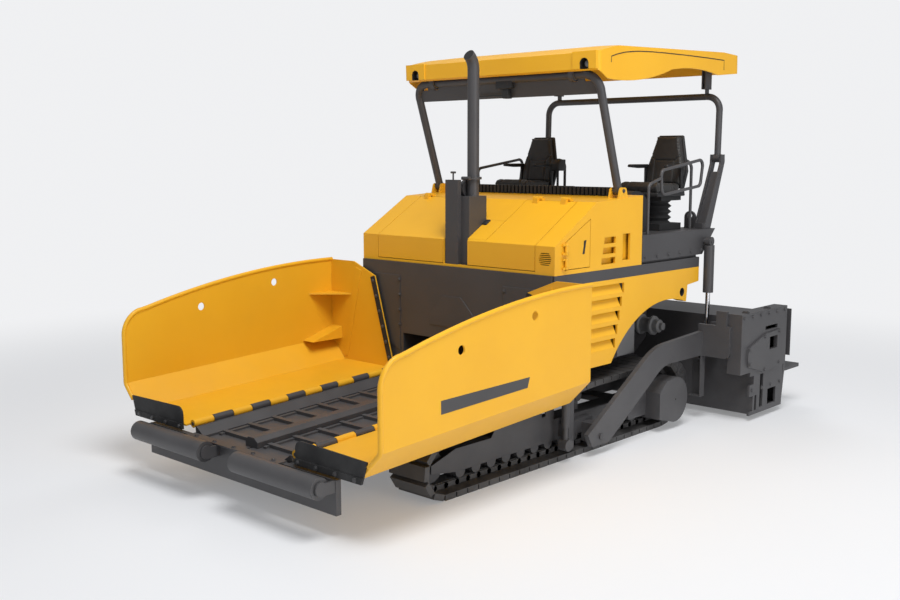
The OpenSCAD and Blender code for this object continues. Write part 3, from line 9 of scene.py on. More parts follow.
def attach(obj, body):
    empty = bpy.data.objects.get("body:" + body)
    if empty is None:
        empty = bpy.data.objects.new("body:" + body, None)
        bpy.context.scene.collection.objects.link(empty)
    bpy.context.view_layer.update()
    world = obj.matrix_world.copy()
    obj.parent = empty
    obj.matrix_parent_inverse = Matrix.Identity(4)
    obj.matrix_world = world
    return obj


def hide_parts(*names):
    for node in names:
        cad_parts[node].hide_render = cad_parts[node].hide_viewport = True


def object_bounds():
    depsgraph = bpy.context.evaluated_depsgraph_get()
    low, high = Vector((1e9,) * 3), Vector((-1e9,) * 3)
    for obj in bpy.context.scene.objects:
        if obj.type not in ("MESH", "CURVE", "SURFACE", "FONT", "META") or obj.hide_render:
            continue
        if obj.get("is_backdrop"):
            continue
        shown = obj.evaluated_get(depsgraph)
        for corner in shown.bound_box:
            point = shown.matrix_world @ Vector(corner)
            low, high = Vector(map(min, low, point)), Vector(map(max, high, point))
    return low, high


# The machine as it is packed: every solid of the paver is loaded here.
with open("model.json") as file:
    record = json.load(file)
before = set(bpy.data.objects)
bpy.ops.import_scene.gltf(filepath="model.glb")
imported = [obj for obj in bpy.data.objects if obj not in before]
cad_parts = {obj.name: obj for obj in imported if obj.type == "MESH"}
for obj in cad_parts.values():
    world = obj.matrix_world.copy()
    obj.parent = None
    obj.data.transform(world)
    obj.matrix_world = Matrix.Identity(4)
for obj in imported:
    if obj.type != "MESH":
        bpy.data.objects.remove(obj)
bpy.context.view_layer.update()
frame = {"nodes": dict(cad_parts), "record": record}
nodes = frame["nodes"]
scene = bpy.context.scene
scene.view_settings.view_transform = "Standard"
scene.cycles.diffuse_bounces = 2

# Floor and light: a wide pale floor under a soft bright sky, with one broad lamp over the
# front left corner, one low fill from the left and one from behind.
FLOOR_SIZE = 400.0
FLOOR_COLOUR = (0.86, 0.87, 0.89, 1.0)
BACKDROP_COLOUR = (0.87, 0.875, 0.89, 1.0)
FLOOR_GLOW = 0.25
FADE_NEAR, FADE_FAR = 4.5, 11.0
FLOOR_Z = -0.001
SKY_COLOUR, SKY_STRENGTH = (0.95, 0.97, 1.0, 1.0), 0.37


def material_of(name):
    made = bpy.data.materials.new(name)
    made.use_nodes = True
    made.node_tree.nodes.clear()
    return made, made.node_tree.nodes, made.node_tree.links


def product(n, link, a, b):
    node = n.new("ShaderNodeMath")
    node.operation = "MULTIPLY"
    link.new(a, node.inputs[0])
    link.new(b, node.inputs[1])
    return node.outputs[0]


def floor_material():
    made, n, link = material_of("pale_floor")
    out = n.new("ShaderNodeOutputMaterial")
    mix = n.new("ShaderNodeMixShader")
    matt = n.new("ShaderNodeBsdfDiffuse")
    matt.inputs["Color"].default_value = FLOOR_COLOUR
    glow = n.new("ShaderNodeEmission")
    glow.inputs["Color"].default_value = BACKDROP_COLOUR
    place = n.new("ShaderNodeTexCoord")
    reach = n.new("ShaderNodeVectorMath")
    reach.operation = "LENGTH"
    link.new(place.outputs["Object"], reach.inputs[0])
    fade = n.new("ShaderNodeMapRange")
    fade.interpolation_type = "SMOOTHSTEP"
    fade.inputs["From Min"].default_value = FADE_NEAR
    fade.inputs["From Max"].default_value = FADE_FAR
    link.new(reach.outputs["Value"], fade.inputs["Value"])
    rays = n.new("ShaderNodeLightPath")
    share = n.new("ShaderNodeMapRange")
    share.inputs["To Min"].default_value = FLOOR_GLOW
    link.new(product(n, link, fade.outputs[0], rays.outputs["Is Camera Ray"]), share.inputs["Value"])
    link.new(share.outputs[0], mix.inputs["Fac"])
    link.new(matt.outputs[0], mix.inputs[1])
    link.new(glow.outputs[0], mix.inputs[2])
    link.new(mix.outputs[0], out.inputs["Surface"])
    return made


def quad_object(name, half, z):
    mesh = bpy.data.meshes.new(name)
    corners = [(-half, -half, z), (half, -half, z), (half, half, z), (-half, half, z)]
    mesh.from_pydata(corners, [], [(0, 1, 2, 3)])
    made = bpy.data.objects.new(name, mesh)
    scene.collection.objects.link(made)
    return made


floor = quad_object("floor", FLOOR_SIZE / 2, FLOOR_Z)
floor.data.materials.append(floor_material())
floor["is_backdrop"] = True

world = bpy.data.worlds.new("soft_sky")
world.use_nodes = True
sky = world.node_tree.nodes["Background"]
sky.inputs["Color"].default_value = SKY_COLOUR
sky.inputs["Strength"].default_value = SKY_STRENGTH
backdrop = world.node_tree.nodes.new("ShaderNodeBackground")
backdrop.inputs["Color"].default_value = BACKDROP_COLOUR
backdrop.inputs["Strength"].default_value = 1.0
rays = world.node_tree.nodes.new("ShaderNodeLightPath")
seen = world.node_tree.nodes.new("ShaderNodeMath")
seen.operation = "MAXIMUM"
choose = world.node_tree.nodes.new("ShaderNodeMixShader")
wire = world.node_tree.links
wire.new(rays.outputs["Is Camera Ray"], seen.inputs[0])
wire.new(rays.outputs["Is Transmission Ray"], seen.inputs[1])
wire.new(seen.outputs[0], choose.inputs["Fac"])
wire.new(sky.outputs[0], choose.inputs[1])
wire.new(backdrop.outputs[0], choose.inputs[2])
wire.new(choose.outputs[0], world.node_tree.nodes["World Output"].inputs["Surface"])
scene.world = world


def lamp(name, place, target, size, power):
    data = bpy.data.lights.new(name, "AREA")
    data.shape = "DISK"
    data.size = size
    data.energy = power
    made = bpy.data.objects.new(name, data)
    made.location = place
    made.rotation_mode = "QUATERNION"
    aim = Vector(target) - Vector(place)
    made.rotation_quaternion = aim.to_track_quat("-Z", "Y")
    scene.collection.objects.link(made)
    return made


lamp("key_lamp", place=(4.5, -3.0, 11.0), target=(0.3, 0.0, 1.0), size=6.0, power=920.0)
lamp("side_lamp", place=(12.0, -1.5, 2.4), target=(0.5, 0.0, 1.4), size=5.0, power=265.0)
back_light = lamp("rear_lamp", place=(-6.0, 8.0, 8.0), target=(0.0, 1.0, 1.5), size=6.0, power=300.0)
back_light.visible_glossy = False

# Camera: where the photograph was taken from, ahead of the machine on its left, a little
# above a person's head, with a long lens.
YAW = math.radians(42.88)
PITCH = math.radians(7.78)
eye = bpy.data.cameras.new("photo_camera")
eye.sensor_width = 36.0
eye.lens = 42.14
eye.clip_end = 500.0
camera = bpy.data.objects.new("photo_camera", eye)
camera.location = (6.901, -7.9965, 2.78)
camera.rotation_mode = "QUATERNION"
ahead = Vector((-math.sin(YAW) * math.cos(PITCH), math.cos(YAW) * math.cos(PITCH), -math.sin(PITCH)))
camera.rotation_quaternion = ahead.to_track_quat("-Z", "Y")
scene.collection.objects.link(camera)
scene.camera = camera


# Finishes: sprayed gloss paint on the bodywork, satin dark paint on the chassis, bare chrome,
# rubber and covers. Dust and edge wear are shared groups that each finish sets in its own way.
def socket(group, name, way, kind, value=None):
    made = group.interface.new_socket(name=name, in_out=way, socket_type=kind)
    if value is not None:
        made.default_value = value
    return made


def noise(n, link, place, scale, detail):
    cloud = n.new("ShaderNodeTexNoise")
    cloud.inputs["Scale"].default_value = scale
    cloud.inputs["Detail"].default_value = detail
    link.new(place.outputs["Object"], cloud.inputs["Vector"])
    return cloud.outputs["Fac"]


def blend(n, link, share, first, second):
    mix = n.new("ShaderNodeMix")
    mix.data_type = "RGBA"
    link.new(share, mix.inputs["Factor"])
    link.new(first, mix.inputs["A"])
    link.new(second, mix.inputs["B"])
    return mix.outputs["Result"]


def dust_group():
    group = bpy.data.node_groups.new("road_dust", "ShaderNodeTree")
    socket(group, "Paint", "INPUT", "NodeSocketColor", (0.5, 0.5, 0.5, 1.0))
    socket(group, "Dust", "INPUT", "NodeSocketColor", (0.27, 0.265, 0.265, 1.0))
    socket(group, "Amount", "INPUT", "NodeSocketFloat", 0.3)
    socket(group, "Height", "INPUT", "NodeSocketFloat", 0.8)
    socket(group, "Roughness", "INPUT", "NodeSocketFloat", 0.4)
    socket(group, "Colour", "OUTPUT", "NodeSocketColor")
    socket(group, "Rough", "OUTPUT", "NodeSocketFloat")
    n, link = group.nodes, group.links
    into, out = n.new("NodeGroupInput"), n.new("NodeGroupOutput")
    place = n.new("ShaderNodeTexCoord")
    split = n.new("ShaderNodeSeparateXYZ")
    link.new(place.outputs["Object"], split.inputs[0])
    low = n.new("ShaderNodeMapRange")
    low.inputs["From Min"].default_value = 0.0
    low.inputs["To Min"].default_value = 1.0
    low.inputs["To Max"].default_value = 0.12
    link.new(split.outputs["Z"], low.inputs["Value"])
    link.new(into.outputs["Height"], low.inputs["From Max"])
    patch = n.new("ShaderNodeMapRange")
    patch.inputs["From Min"].default_value = 0.38
    patch.inputs["From Max"].default_value = 0.72
    link.new(noise(n, link, place, 5.0, 6.0), patch.inputs["Value"])
    patches = product(n, link, low.outputs[0], patch.outputs[0])
    share = product(n, link, patches, into.outputs["Amount"])
    link.new(blend(n, link, share, into.outputs["Paint"], into.outputs["Dust"]), out.inputs["Colour"])
    rough = n.new("ShaderNodeMath")
    rough.operation = "ADD"
    rough.use_clamp = True
    link.new(into.outputs["Roughness"], rough.inputs[0])
    link.new(share, rough.inputs[1])
    link.new(rough.outputs[0], out.inputs["Rough"])
    return group


def wear_group():
    group = bpy.data.node_groups.new("edge_wear", "ShaderNodeTree")
    socket(group, "Paint", "INPUT", "NodeSocketColor", (0.5, 0.5, 0.5, 1.0))
    socket(group, "Bare", "INPUT", "NodeSocketColor", (0.30, 0.30, 0.31, 1.0))
    socket(group, "Amount", "INPUT", "NodeSocketFloat", 0.5)
    socket(group, "Radius", "INPUT", "NodeSocketFloat", 0.006)
    socket(group, "Colour", "OUTPUT", "NodeSocketColor")
    socket(group, "Normal", "OUTPUT", "NodeSocketVector")
    n, link = group.nodes, group.links
    into, out = n.new("NodeGroupInput"), n.new("NodeGroupOutput")
    round_edge = n.new("ShaderNodeBevel")
    round_edge.samples = 4
    link.new(into.outputs["Radius"], round_edge.inputs["Radius"])
    true_face = n.new("ShaderNodeNewGeometry")
    turn = n.new("ShaderNodeVectorMath")
    turn.operation = "DOT_PRODUCT"
    link.new(round_edge.outputs["Normal"], turn.inputs[0])
    link.new(true_face.outputs["Normal"], turn.inputs[1])
    edge = n.new("ShaderNodeMapRange")
    edge.inputs["From Min"].default_value = 0.99
    edge.inputs["From Max"].default_value = 0.80
    link.new(turn.outputs["Value"], edge.inputs["Value"])
    place = n.new("ShaderNodeTexCoord")
    chip = n.new("ShaderNodeMapRange")
    chip.inputs["From Min"].default_value = 0.52
    chip.inputs["From Max"].default_value = 0.66
    link.new(noise(n, link, place, 26.0, 5.0), chip.inputs["Value"])
    chipped = product(n, link, edge.outputs[0], chip.outputs[0])
    share = product(n, link, chipped, into.outputs["Amount"])
    link.new(blend(n, link, share, into.outputs["Paint"], into.outputs["Bare"]), out.inputs["Colour"])
    link.new(round_edge.outputs["Normal"], out.inputs["Normal"])
    return group


road_dust = dust_group()
edge_wear = wear_group()


def finish(name, paint, shade, roughness, dust, height, wear, bare, radius, grain, depth,
           metallic=0.0, coat=0.0, shine=0.5):
    """A painted or bare finish: two tones, fine grain, dust near the ground and worn edges."""
    made, n, link = material_of(name)
    out = n.new("ShaderNodeOutputMaterial")
    skin = n.new("ShaderNodeBsdfPrincipled")
    skin.inputs["Metallic"].default_value = metallic
    skin.inputs["Specular IOR Level"].default_value = shine
    skin.inputs["Coat Weight"].default_value = coat
    skin.inputs["Coat Roughness"].default_value = 0.08
    link.new(skin.outputs[0], out.inputs["Surface"])
    place = n.new("ShaderNodeTexCoord")
    ramp = n.new("ShaderNodeValToRGB")
    ramp.color_ramp.elements[0].position = 0.35
    ramp.color_ramp.elements[0].color = (*shade, 1.0)
    ramp.color_ramp.elements[1].position = 0.65
    ramp.color_ramp.elements[1].color = (*paint, 1.0)
    link.new(noise(n, link, place, 1.7, 4.0), ramp.inputs["Fac"])
    worn = n.new("ShaderNodeGroup")
    worn.node_tree = edge_wear
    worn.inputs["Bare"].default_value = (*bare, 1.0)
    worn.inputs["Amount"].default_value = wear
    worn.inputs["Radius"].default_value = radius
    link.new(ramp.outputs["Color"], worn.inputs["Paint"])
    dusty = n.new("ShaderNodeGroup")
    dusty.node_tree = road_dust
    dusty.inputs["Amount"].default_value = dust
    dusty.inputs["Height"].default_value = height
    dusty.inputs["Roughness"].default_value = roughness
    link.new(worn.outputs["Colour"], dusty.inputs["Paint"])
    link.new(dusty.outputs["Colour"], skin.inputs["Base Color"])
    link.new(dusty.outputs["Rough"], skin.inputs["Roughness"])
    bump = n.new("ShaderNodeBump")
    bump.inputs["Strength"].default_value = 0.25
    bump.inputs["Distance"].default_value = depth
    link.new(noise(n, link, place, grain, 3.0), bump.inputs["Height"])
    link.new(worn.outputs["Normal"], bump.inputs["Normal"])
    link.new(bump.outputs["Normal"], skin.inputs["Normal"])
    return made


yellow_paint = finish("yellow_paint", paint=(0.93, 0.485, 0.022), shade=(0.90, 0.46, 0.020), roughness=0.42,
                      dust=0.08, height=0.9, wear=0.20, bare=(0.55, 0.30, 0.05), radius=0.005,
                      grain=240.0, depth=0.0005, coat=0.10, shine=0.35)
dark_paint = finish("dark_paint", paint=(0.066, 0.064, 0.067), shade=(0.056, 0.054, 0.057), roughness=0.46,
                    dust=0.10, height=1.0, wear=0.25, bare=(0.20, 0.20, 0.205), radius=0.005,
                    grain=320.0, depth=0.0008)
grey_paint = finish("grey_paint", paint=(0.074, 0.072, 0.075), shade=(0.064, 0.062, 0.065), roughness=0.44,
                    dust=0.12, height=1.0, wear=0.28, bare=(0.22, 0.22, 0.225), radius=0.005,
                    grain=320.0, depth=0.0008)
black_rubber = finish("black_rubber", paint=(0.018, 0.018, 0.019), shade=(0.012, 0.012, 0.013),
                      roughness=0.72, dust=0.30, height=0.9, wear=0.3, bare=(0.05, 0.05, 0.05), radius=0.004,
                      grain=420.0, depth=0.0010)
black_plastic = finish("black_plastic", paint=(0.020, 0.020, 0.021), shade=(0.015, 0.015, 0.016),
                       roughness=0.52, dust=0.15, height=1.0, wear=0.3, bare=(0.06, 0.06, 0.06), radius=0.004,
                       grain=600.0, depth=0.0006)
chrome_rod = finish("chrome_rod", paint=(0.72, 0.72, 0.74), shade=(0.66, 0.66, 0.68), roughness=0.12,
                    dust=0.05, height=1.0, wear=0.1, bare=(0.55, 0.55, 0.56), radius=0.002,
                    grain=90.0, depth=0.0002, metallic=1.0)
track_steel = finish("track_steel", paint=(0.062, 0.059, 0.058), shade=(0.045, 0.043, 0.043), roughness=0.48,
                     dust=0.30, height=0.5, wear=0.6, bare=(0.30, 0.295, 0.295), radius=0.004,
                     grain=180.0, depth=0.0014)

slot_finish = {
    "yellow_paint": yellow_paint, "moulded_panel": yellow_paint, "dark_paint": dark_paint,
    "grey_paint": grey_paint, "rubber": black_rubber, "seat_cover": black_rubber,
    "black_plastic": black_plastic, "chrome": chrome_rod,
}
for part in frame["record"]["subparts"]:
    shown = nodes[part["node"]].data
    coat = slot_finish[part["material_slot"]]
    if part["node"] in ("track_left", "track_right"):
        coat = track_steel
    shown.materials.clear()
    shown.materials.append(coat)

# Bolt heads: hexagon heads on washers, in rows along the strips, covers and brackets that are
# bolted on. One tree sets a head on every point, turned to the face it is screwed into.
STATION = 2.0375


def at(x, y, z):
    """A point given in millimetres along the machine, in the model's frame."""
    return Vector((x / 1000, y / 1000 - STATION, z / 1000))


def place_tree(name, sizes, shape):
    group = bpy.data.node_groups.new(name, "GeometryNodeTree")
    group.is_modifier = True
    socket(group, "Geometry", "INPUT", "NodeSocketGeometry")
    for label, value in sizes.items():
        socket(group, label, "INPUT", "NodeSocketFloat", value)
    socket(group, "Finish", "INPUT", "NodeSocketMaterial")
    socket(group, "Geometry", "OUTPUT", "NodeSocketGeometry")
    n, link = group.nodes, group.links
    into, out = n.new("NodeGroupInput"), n.new("NodeGroupOutput")
    facing = n.new("GeometryNodeInputNamedAttribute")
    facing.data_type = "FLOAT_VECTOR"
    facing.inputs["Name"].default_value = "facing"
    turn = n.new("FunctionNodeEulerToRotation")
    link.new(facing.outputs["Attribute"], turn.inputs[0])
    put = n.new("GeometryNodeInstanceOnPoints")
    link.new(into.outputs["Geometry"], put.inputs["Points"])
    link.new(shape(n, link, into), put.inputs["Instance"])
    link.new(turn.outputs[0], put.inputs["Rotation"])
    whole = n.new("GeometryNodeRealizeInstances")
    link.new(put.outputs[0], whole.inputs[0])
    painted = n.new("GeometryNodeSetMaterial")
    link.new(whole.outputs[0], painted.inputs["Geometry"])
    link.new(into.outputs["Finish"], painted.inputs["Material"])
    link.new(painted.outputs[0], out.inputs[0])
    return group


def drum(n, link, into, radius, depth, sides):
    """A short cylinder that stands on the point, of the named radius and depth."""
    body = n.new("GeometryNodeMeshCylinder")
    body.inputs["Vertices"].default_value = sides
    link.new(into.outputs[radius], body.inputs["Radius"])
    link.new(into.outputs[depth], body.inputs["Depth"])
    half = n.new("ShaderNodeMath")
    half.operation = "MULTIPLY"
    half.inputs[1].default_value = 0.5
    link.new(into.outputs[depth], half.inputs[0])
    lift = n.new("ShaderNodeCombineXYZ")
    link.new(half.outputs[0], lift.inputs["Z"])
    stand = n.new("GeometryNodeTransform")
    link.new(body.outputs["Mesh"], stand.inputs["Geometry"])
    link.new(lift.outputs[0], stand.inputs["Translation"])
    return stand.outputs[0]


def bolt_shape(n, link, into):
    whole = n.new("GeometryNodeJoinGeometry")
    link.new(drum(n, link, into, "Washer radius", "Washer height", 24), whole.inputs[0])
    link.new(drum(n, link, into, "Head radius", "Head height", 6), whole.inputs[0])
    return whole.outputs[0]


bolt_heads = place_tree("bolt_heads", {"Head radius": 0.014, "Head height": 0.012, "Washer radius": 0.020,
                                       "Washer height": 0.004}, bolt_shape)


def set_on(name, tree, spots, body, coat, slot, **sizes):
    """Sets the tree's shape on every spot, a point with the way it faces, as one piece."""
    mesh = bpy.data.meshes.new(name)
    mesh.from_pydata([point for point, way in spots], [], [])
    turns = mesh.attributes.new("facing", "FLOAT_VECTOR", "POINT")
    for held, (point, way) in zip(turns.data, spots):
        held.vector = way if isinstance(way, Euler) else Vector(way).to_track_quat("Z", "Y").to_euler()
    made = bpy.data.objects.new(name, mesh)
    scene.collection.objects.link(made)
    rows = made.modifiers.new("rows", "NODES")
    rows.node_group = tree
    for item in tree.interface.items_tree:
        if item.in_out == "INPUT" and item.name in sizes:
            rows[item.identifier] = sizes[item.name]
        if item.in_out == "INPUT" and item.name == "Finish":
            rows[item.identifier] = coat
    bpy.context.view_layer.update()
    shown = made.evaluated_get(bpy.context.evaluated_depsgraph_get())
    solid = bpy.data.meshes.new_from_object(shown)
    made.modifiers.clear()
    made.data = solid
    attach(made, body)
    return made


def row(start, end, count, way):
    return [(start.lerp(end, i / (count - 1)), way) for i in range(count)]


FRONT, UP = (0, -1, 0), (0, 0, 1)
SIDES = (("left", 1), ("right", -1))
BEAM_HALF, BEAM_Y, BEAM_Z = 520, -1095, 452
WALL_X, WALL_Y, WALL_LOW, WALL_HIGH = (690, 1150), 1459, 1080, 1540
SILL_X, SILL_FRONT, SILL_REAR, SILL_Z = 1250, 2960, 4060, 1790
POST_PIN_X, POST_PIN_Y, POST_PIN_Z = 1238, 2576, 2450
chassis_bolts = row(at(-BEAM_HALF, BEAM_Y, BEAM_Z), at(BEAM_HALF, BEAM_Y, BEAM_Z), 5, UP)
for side in (-1, 1):
    out = (side, 0, 0)
    for x in WALL_X:
        chassis_bolts += row(at(side * x, WALL_Y, WALL_LOW), at(side * x, WALL_Y, WALL_HIGH), 4, FRONT)
    chassis_bolts += row(at(side * SILL_X, SILL_FRONT, SILL_Z), at(side * SILL_X, SILL_REAR, SILL_Z), 6, out)
    chassis_bolts.append((at(side * POST_PIN_X, POST_PIN_Y, POST_PIN_Z), out))
set_on("chassis_bolts", bolt_heads, chassis_bolts, "chassis", dark_paint, "dark_paint")
FLAP_IN, FLAP_OUT, FLAP_Y, FLAP_Z = 800, 1440, -1082, 484
SEAL_BOLTS_Y, SEAL_BOLT_TOP, SEAL_BOLT_LOW = 1405, (1021, 1508), (792, 735)
for name, side in SIDES:
    spots = row(at(side * FLAP_IN, FLAP_Y, FLAP_Z), at(side * FLAP_OUT, FLAP_Y, FLAP_Z), 4, FRONT)
    spots += row(at(side * SEAL_BOLT_TOP[0], SEAL_BOLTS_Y, SEAL_BOLT_TOP[1]),
                 at(side * SEAL_BOLT_LOW[0], SEAL_BOLTS_Y, SEAL_BOLT_LOW[1]), 6, FRONT)
    set_on(f"wing_bolts_{name}", bolt_heads, spots, f"wing_{name}", grey_paint, "grey_paint")
COVER_X, PLATE_X, HANGER_X, LEDGE_Z = 1850, 1830, 1406, 1168
COVER_BOLTS = ((4070, 780), (4400, 880), (4730, 900), (4740, 560), (4410, 525), (4075, 625))
screed_bolts = []
for side in (-1, 1):
    out = (side, 0, 0)
    screed_bolts += [(at(side * COVER_X, y, z), out) for y, z in COVER_BOLTS]
    screed_bolts += row(at(side * PLATE_X, 3960, 1120), at(side * PLATE_X, 4880, 1120), 6, out)
    screed_bolts += row(at(side * PLATE_X, 4180, 330), at(side * PLATE_X, 4820, 330), 4, out)
    screed_bolts += row(at(side * HANGER_X, 4180, 690), at(side * HANGER_X, 4180, 965), 3, out)
    for y in (4100, 4580):
        screed_bolts += row(at(side * 1752, y, LEDGE_Z), at(side * 1786, y, LEDGE_Z), 2, UP)
set_on("screed_bolts", bolt_heads, screed_bolts, "screed", dark_paint, "dark_paint")

# Seats: foam pads in a grained black cover, sewn in panels, on a moulded pan and back shell, with
# a padded rest for each arm. The foam is blown up inside its cover by a short simulation.
SEAT_X = 0.860
SEAT_Y = 3870
CUSHION_Z = 2500
LEAN = math.radians(10.0)


def seat_cover_finish():
    made, n, link = material_of("seat_cover")
    out = n.new("ShaderNodeOutputMaterial")
    skin = n.new("ShaderNodeBsdfPrincipled")
    skin.inputs["Roughness"].default_value = 0.5
    skin.inputs["Sheen Weight"].default_value = 0.15
    link.new(skin.outputs[0], out.inputs["Surface"])
    place = n.new("ShaderNodeTexCoord")
    pores = n.new("ShaderNodeTexVoronoi")
    pores.inputs["Scale"].default_value = 260.0
    link.new(place.outputs["Object"], pores.inputs["Vector"])
    tone = n.new("ShaderNodeTexNoise")
    tone.inputs["Scale"].default_value = 14.0
    link.new(place.outputs["Object"], tone.inputs["Vector"])
    ramp = n.new("ShaderNodeValToRGB")
    ramp.color_ramp.elements[0].color = (0.013, 0.012, 0.011, 1.0)
    ramp.color_ramp.elements[1].color = (0.030, 0.028, 0.026, 1.0)
    link.new(tone.outputs["Fac"], ramp.inputs["Fac"])
    link.new(ramp.outputs["Color"], skin.inputs["Base Color"])
    bump = n.new("ShaderNodeBump")
    bump.inputs["Strength"].default_value = 0.35
    bump.inputs["Distance"].default_value = 0.0012
    link.new(pores.outputs["Distance"], bump.inputs["Height"])
    link.new(bump.outputs["Normal"], skin.inputs["Normal"])
    return made


seat_cover = seat_cover_finish()


def piece_of(name, built, outward=True):
    """Makes an object of the mesh that was built, with its faces turned outward."""
    if outward:
        bmesh.ops.recalc_face_normals(built, faces=built.faces)
    mesh = bpy.data.meshes.new(name)
    built.to_mesh(mesh)
    built.free()
    made = bpy.data.objects.new(name, mesh)
    scene.collection.objects.link(made)
    return made


def wrap(built, rings):
    """Closes the skin between each ring of points and the next."""
    for near, far in zip(rings, rings[1:]):
        for i in range(len(near)):
            k = (i + 1) % len(near)
            built.faces.new((near[i], near[k], far[k], far[i]))


def prism(name, outline, low, high, across):
    """A closed slab: an outline in one plane, drawn out from low to high along the third axis."""
    built = bmesh.new()
    rings = [[built.verts.new(across(u, v, w)) for u, v in outline] for w in (low, high)]
    built.faces.new(list(reversed(rings[0])))
    built.faces.new(rings[1])
    wrap(built, rings)
    return piece_of(name, built)


def bake(made):
    bpy.context.view_layer.update()
    shown = made.evaluated_get(bpy.context.evaluated_depsgraph_get())
    solid = bpy.data.meshes.new_from_object(shown)
    made.modifiers.clear()
    made.data = solid


def soften(made, width, segments):
    edge = made.modifiers.new("soft_edges", "BEVEL")
    edge.width = width
    edge.segments = segments
    edge.limit_method = "ANGLE"
    bake(made)
    for face in made.data.polygons:
        face.use_smooth = True


def blow_up(made, voxel, cap):
    """Foam in a cover: remeshed, swollen by pressure for a few frames, and held to a cap."""
    grid = made.modifiers.new("cover_mesh", "REMESH")
    grid.mode = "VOXEL"
    grid.voxel_size = voxel
    bake(made)
    rest = [v.co.copy() for v in made.data.vertices]
    cloth = made.modifiers.new("foam", "CLOTH")
    cloth.settings.use_pressure = True
    cloth.settings.uniform_pressure_force = 4.0
    cloth.settings.effector_weights.gravity = 0.0
    for step in range(1, 21):
        scene.frame_set(step)
    bake(made)
    scene.frame_set(1)
    for v, start in zip(made.data.vertices, rest):
        shift = v.co - start
        if shift.length > cap:
            v.co = start + shift.normalized() * cap


def sew(made, seams, depth, reach, facing):
    """Pulls the cover in along its seams, on the side that faces the sitter."""
    for v in made.data.vertices:
        if v.normal.dot(facing) < 0.35:
            continue
        near = 1.0
        for a, b in seams:
            span = b - a
            t = max(0.0, min(1.0, (v.co - a).dot(span) / span.length_squared))
            gap = v.co - (a + span * t)
            near = min(near, (gap - facing * gap.dot(facing)).length)
        v.co -= facing * depth * math.exp(-(near / reach) ** 2)


def finish_pad(made):
    smooth = made.modifiers.new("fine", "SUBSURF")
    smooth.levels = 1
    smooth.render_levels = 1
    bake(made)
    for face in made.data.polygons:
        face.use_smooth = True
    made.data.materials.clear()
    made.data.materials.append(seat_cover)


def in_back(u, v, w):
    """A point of the leaning back: across, up it, and from its front face to its rear."""
    lean = Vector((u / 1000, w / 1000, v / 1000))
    lean.rotate(Euler((-LEAN, 0, 0)))
    return at(0, SEAT_Y, CUSHION_Z - 60) + lean


def in_seat(u, v, w):
    """A point of the cushion: from its side outline, and across it."""
    return at(w, u, v)


PAD_VOXEL, PAD_CAP = 0.006, 0.014
SEAM_DEPTH, SEAM_REACH, SEAM_Z = 0.011, 0.010, 2500
PAD_HALF, PAN_HALF, ARM_X, ARM_HALF, STEM_HALF = 226, 238, 220, 27, 10
back_line = [(-214, 40), (214, 40), (236, 200), (137, 566), (-137, 566), (-236, 200)]
back_pad = prism("seat_back_left", back_line, 8, 62, in_back)
blow_up(back_pad, PAD_VOXEL, PAD_CAP)
sitter = in_back(0, 0, -1) - in_back(0, 0, 0)
sitter.normalize()
back_seams = [(in_back(a, b, 0), in_back(c, d, 0)) for a, b, c, d in (
    (-118, 40, -118, 300), (118, 40, 118, 300), (-118, 300, 118, 300), (-118, 300, -205, 380),
    (118, 300, 205, 380))]
sew(back_pad, back_seams, SEAM_DEPTH, SEAM_REACH, sitter)
finish_pad(back_pad)


def from_seat(line):
    """An outline whose stations are given from the seat's own station."""
    return [(SEAT_Y + y, z) for y, z in line]


seat_line = from_seat([(-448, 2400), (-20, 2400), (-5, 2482), (-300, 2488), (-440, 2505), (-474, 2470)])
seat_pad = prism("seat_cushion_left", seat_line, -PAD_HALF, PAD_HALF, in_seat)
blow_up(seat_pad, PAD_VOXEL, PAD_CAP)
seat_seams = [(at(a, b, SEAM_Z), at(c, d, SEAM_Z)) for a, b, c, d in (
    (-135, 3430, -135, 3860), (135, 3430, 135, 3860), (-135, 3540, 135, 3540))]
sew(seat_pad, seat_seams, SEAM_DEPTH, SEAM_REACH, Vector((0, 0, 1)))
finish_pad(seat_pad)

shell_line = [(-222, 10), (222, 10), (248, 200), (148, 580), (-148, 580), (-248, 200)]
back_shell = prism("seat_shell_left", shell_line, 60, 94, in_back)
soften(back_shell, 0.012, 3)
pan_line = from_seat([(-455, 2362), (88, 2362), (70, 2430), (-10, 2408), (-458, 2408)])
seat_pan = prism("seat_pan_left", pan_line, -PAN_HALF, PAN_HALF, in_seat)
soften(seat_pan, 0.014, 3)
rest_line = from_seat([(-300, 2664), (-120, 2652), (50, 2654), (52, 2694), (-290, 2694)])
stem_line = from_seat([(10, 2440), (54, 2440), (50, 2660), (6, 2660)])
rests = []
for side in (-1, 1):
    pad = prism(f"arm_rest_{side}", rest_line, side * ARM_X - ARM_HALF, side * ARM_X + ARM_HALF, in_seat)
    soften(pad, 0.012, 3)
    stem = prism(f"arm_stem_{side}", stem_line, side * ARM_X - STEM_HALF, side * ARM_X + STEM_HALF, in_seat)
    soften(stem, 0.005, 2)
    rests += [pad, stem]


def join(name, pieces, coat):
    """Joins meshes into one piece with one finish."""
    built = bmesh.new()
    for piece in pieces:
        built.from_mesh(piece.data)
    for piece in pieces:
        bpy.data.objects.remove(piece)
    made = piece_of(name, built, outward=False)
    for face in made.data.polygons:
        face.use_smooth = True
    made.data.materials.append(coat)
    return made


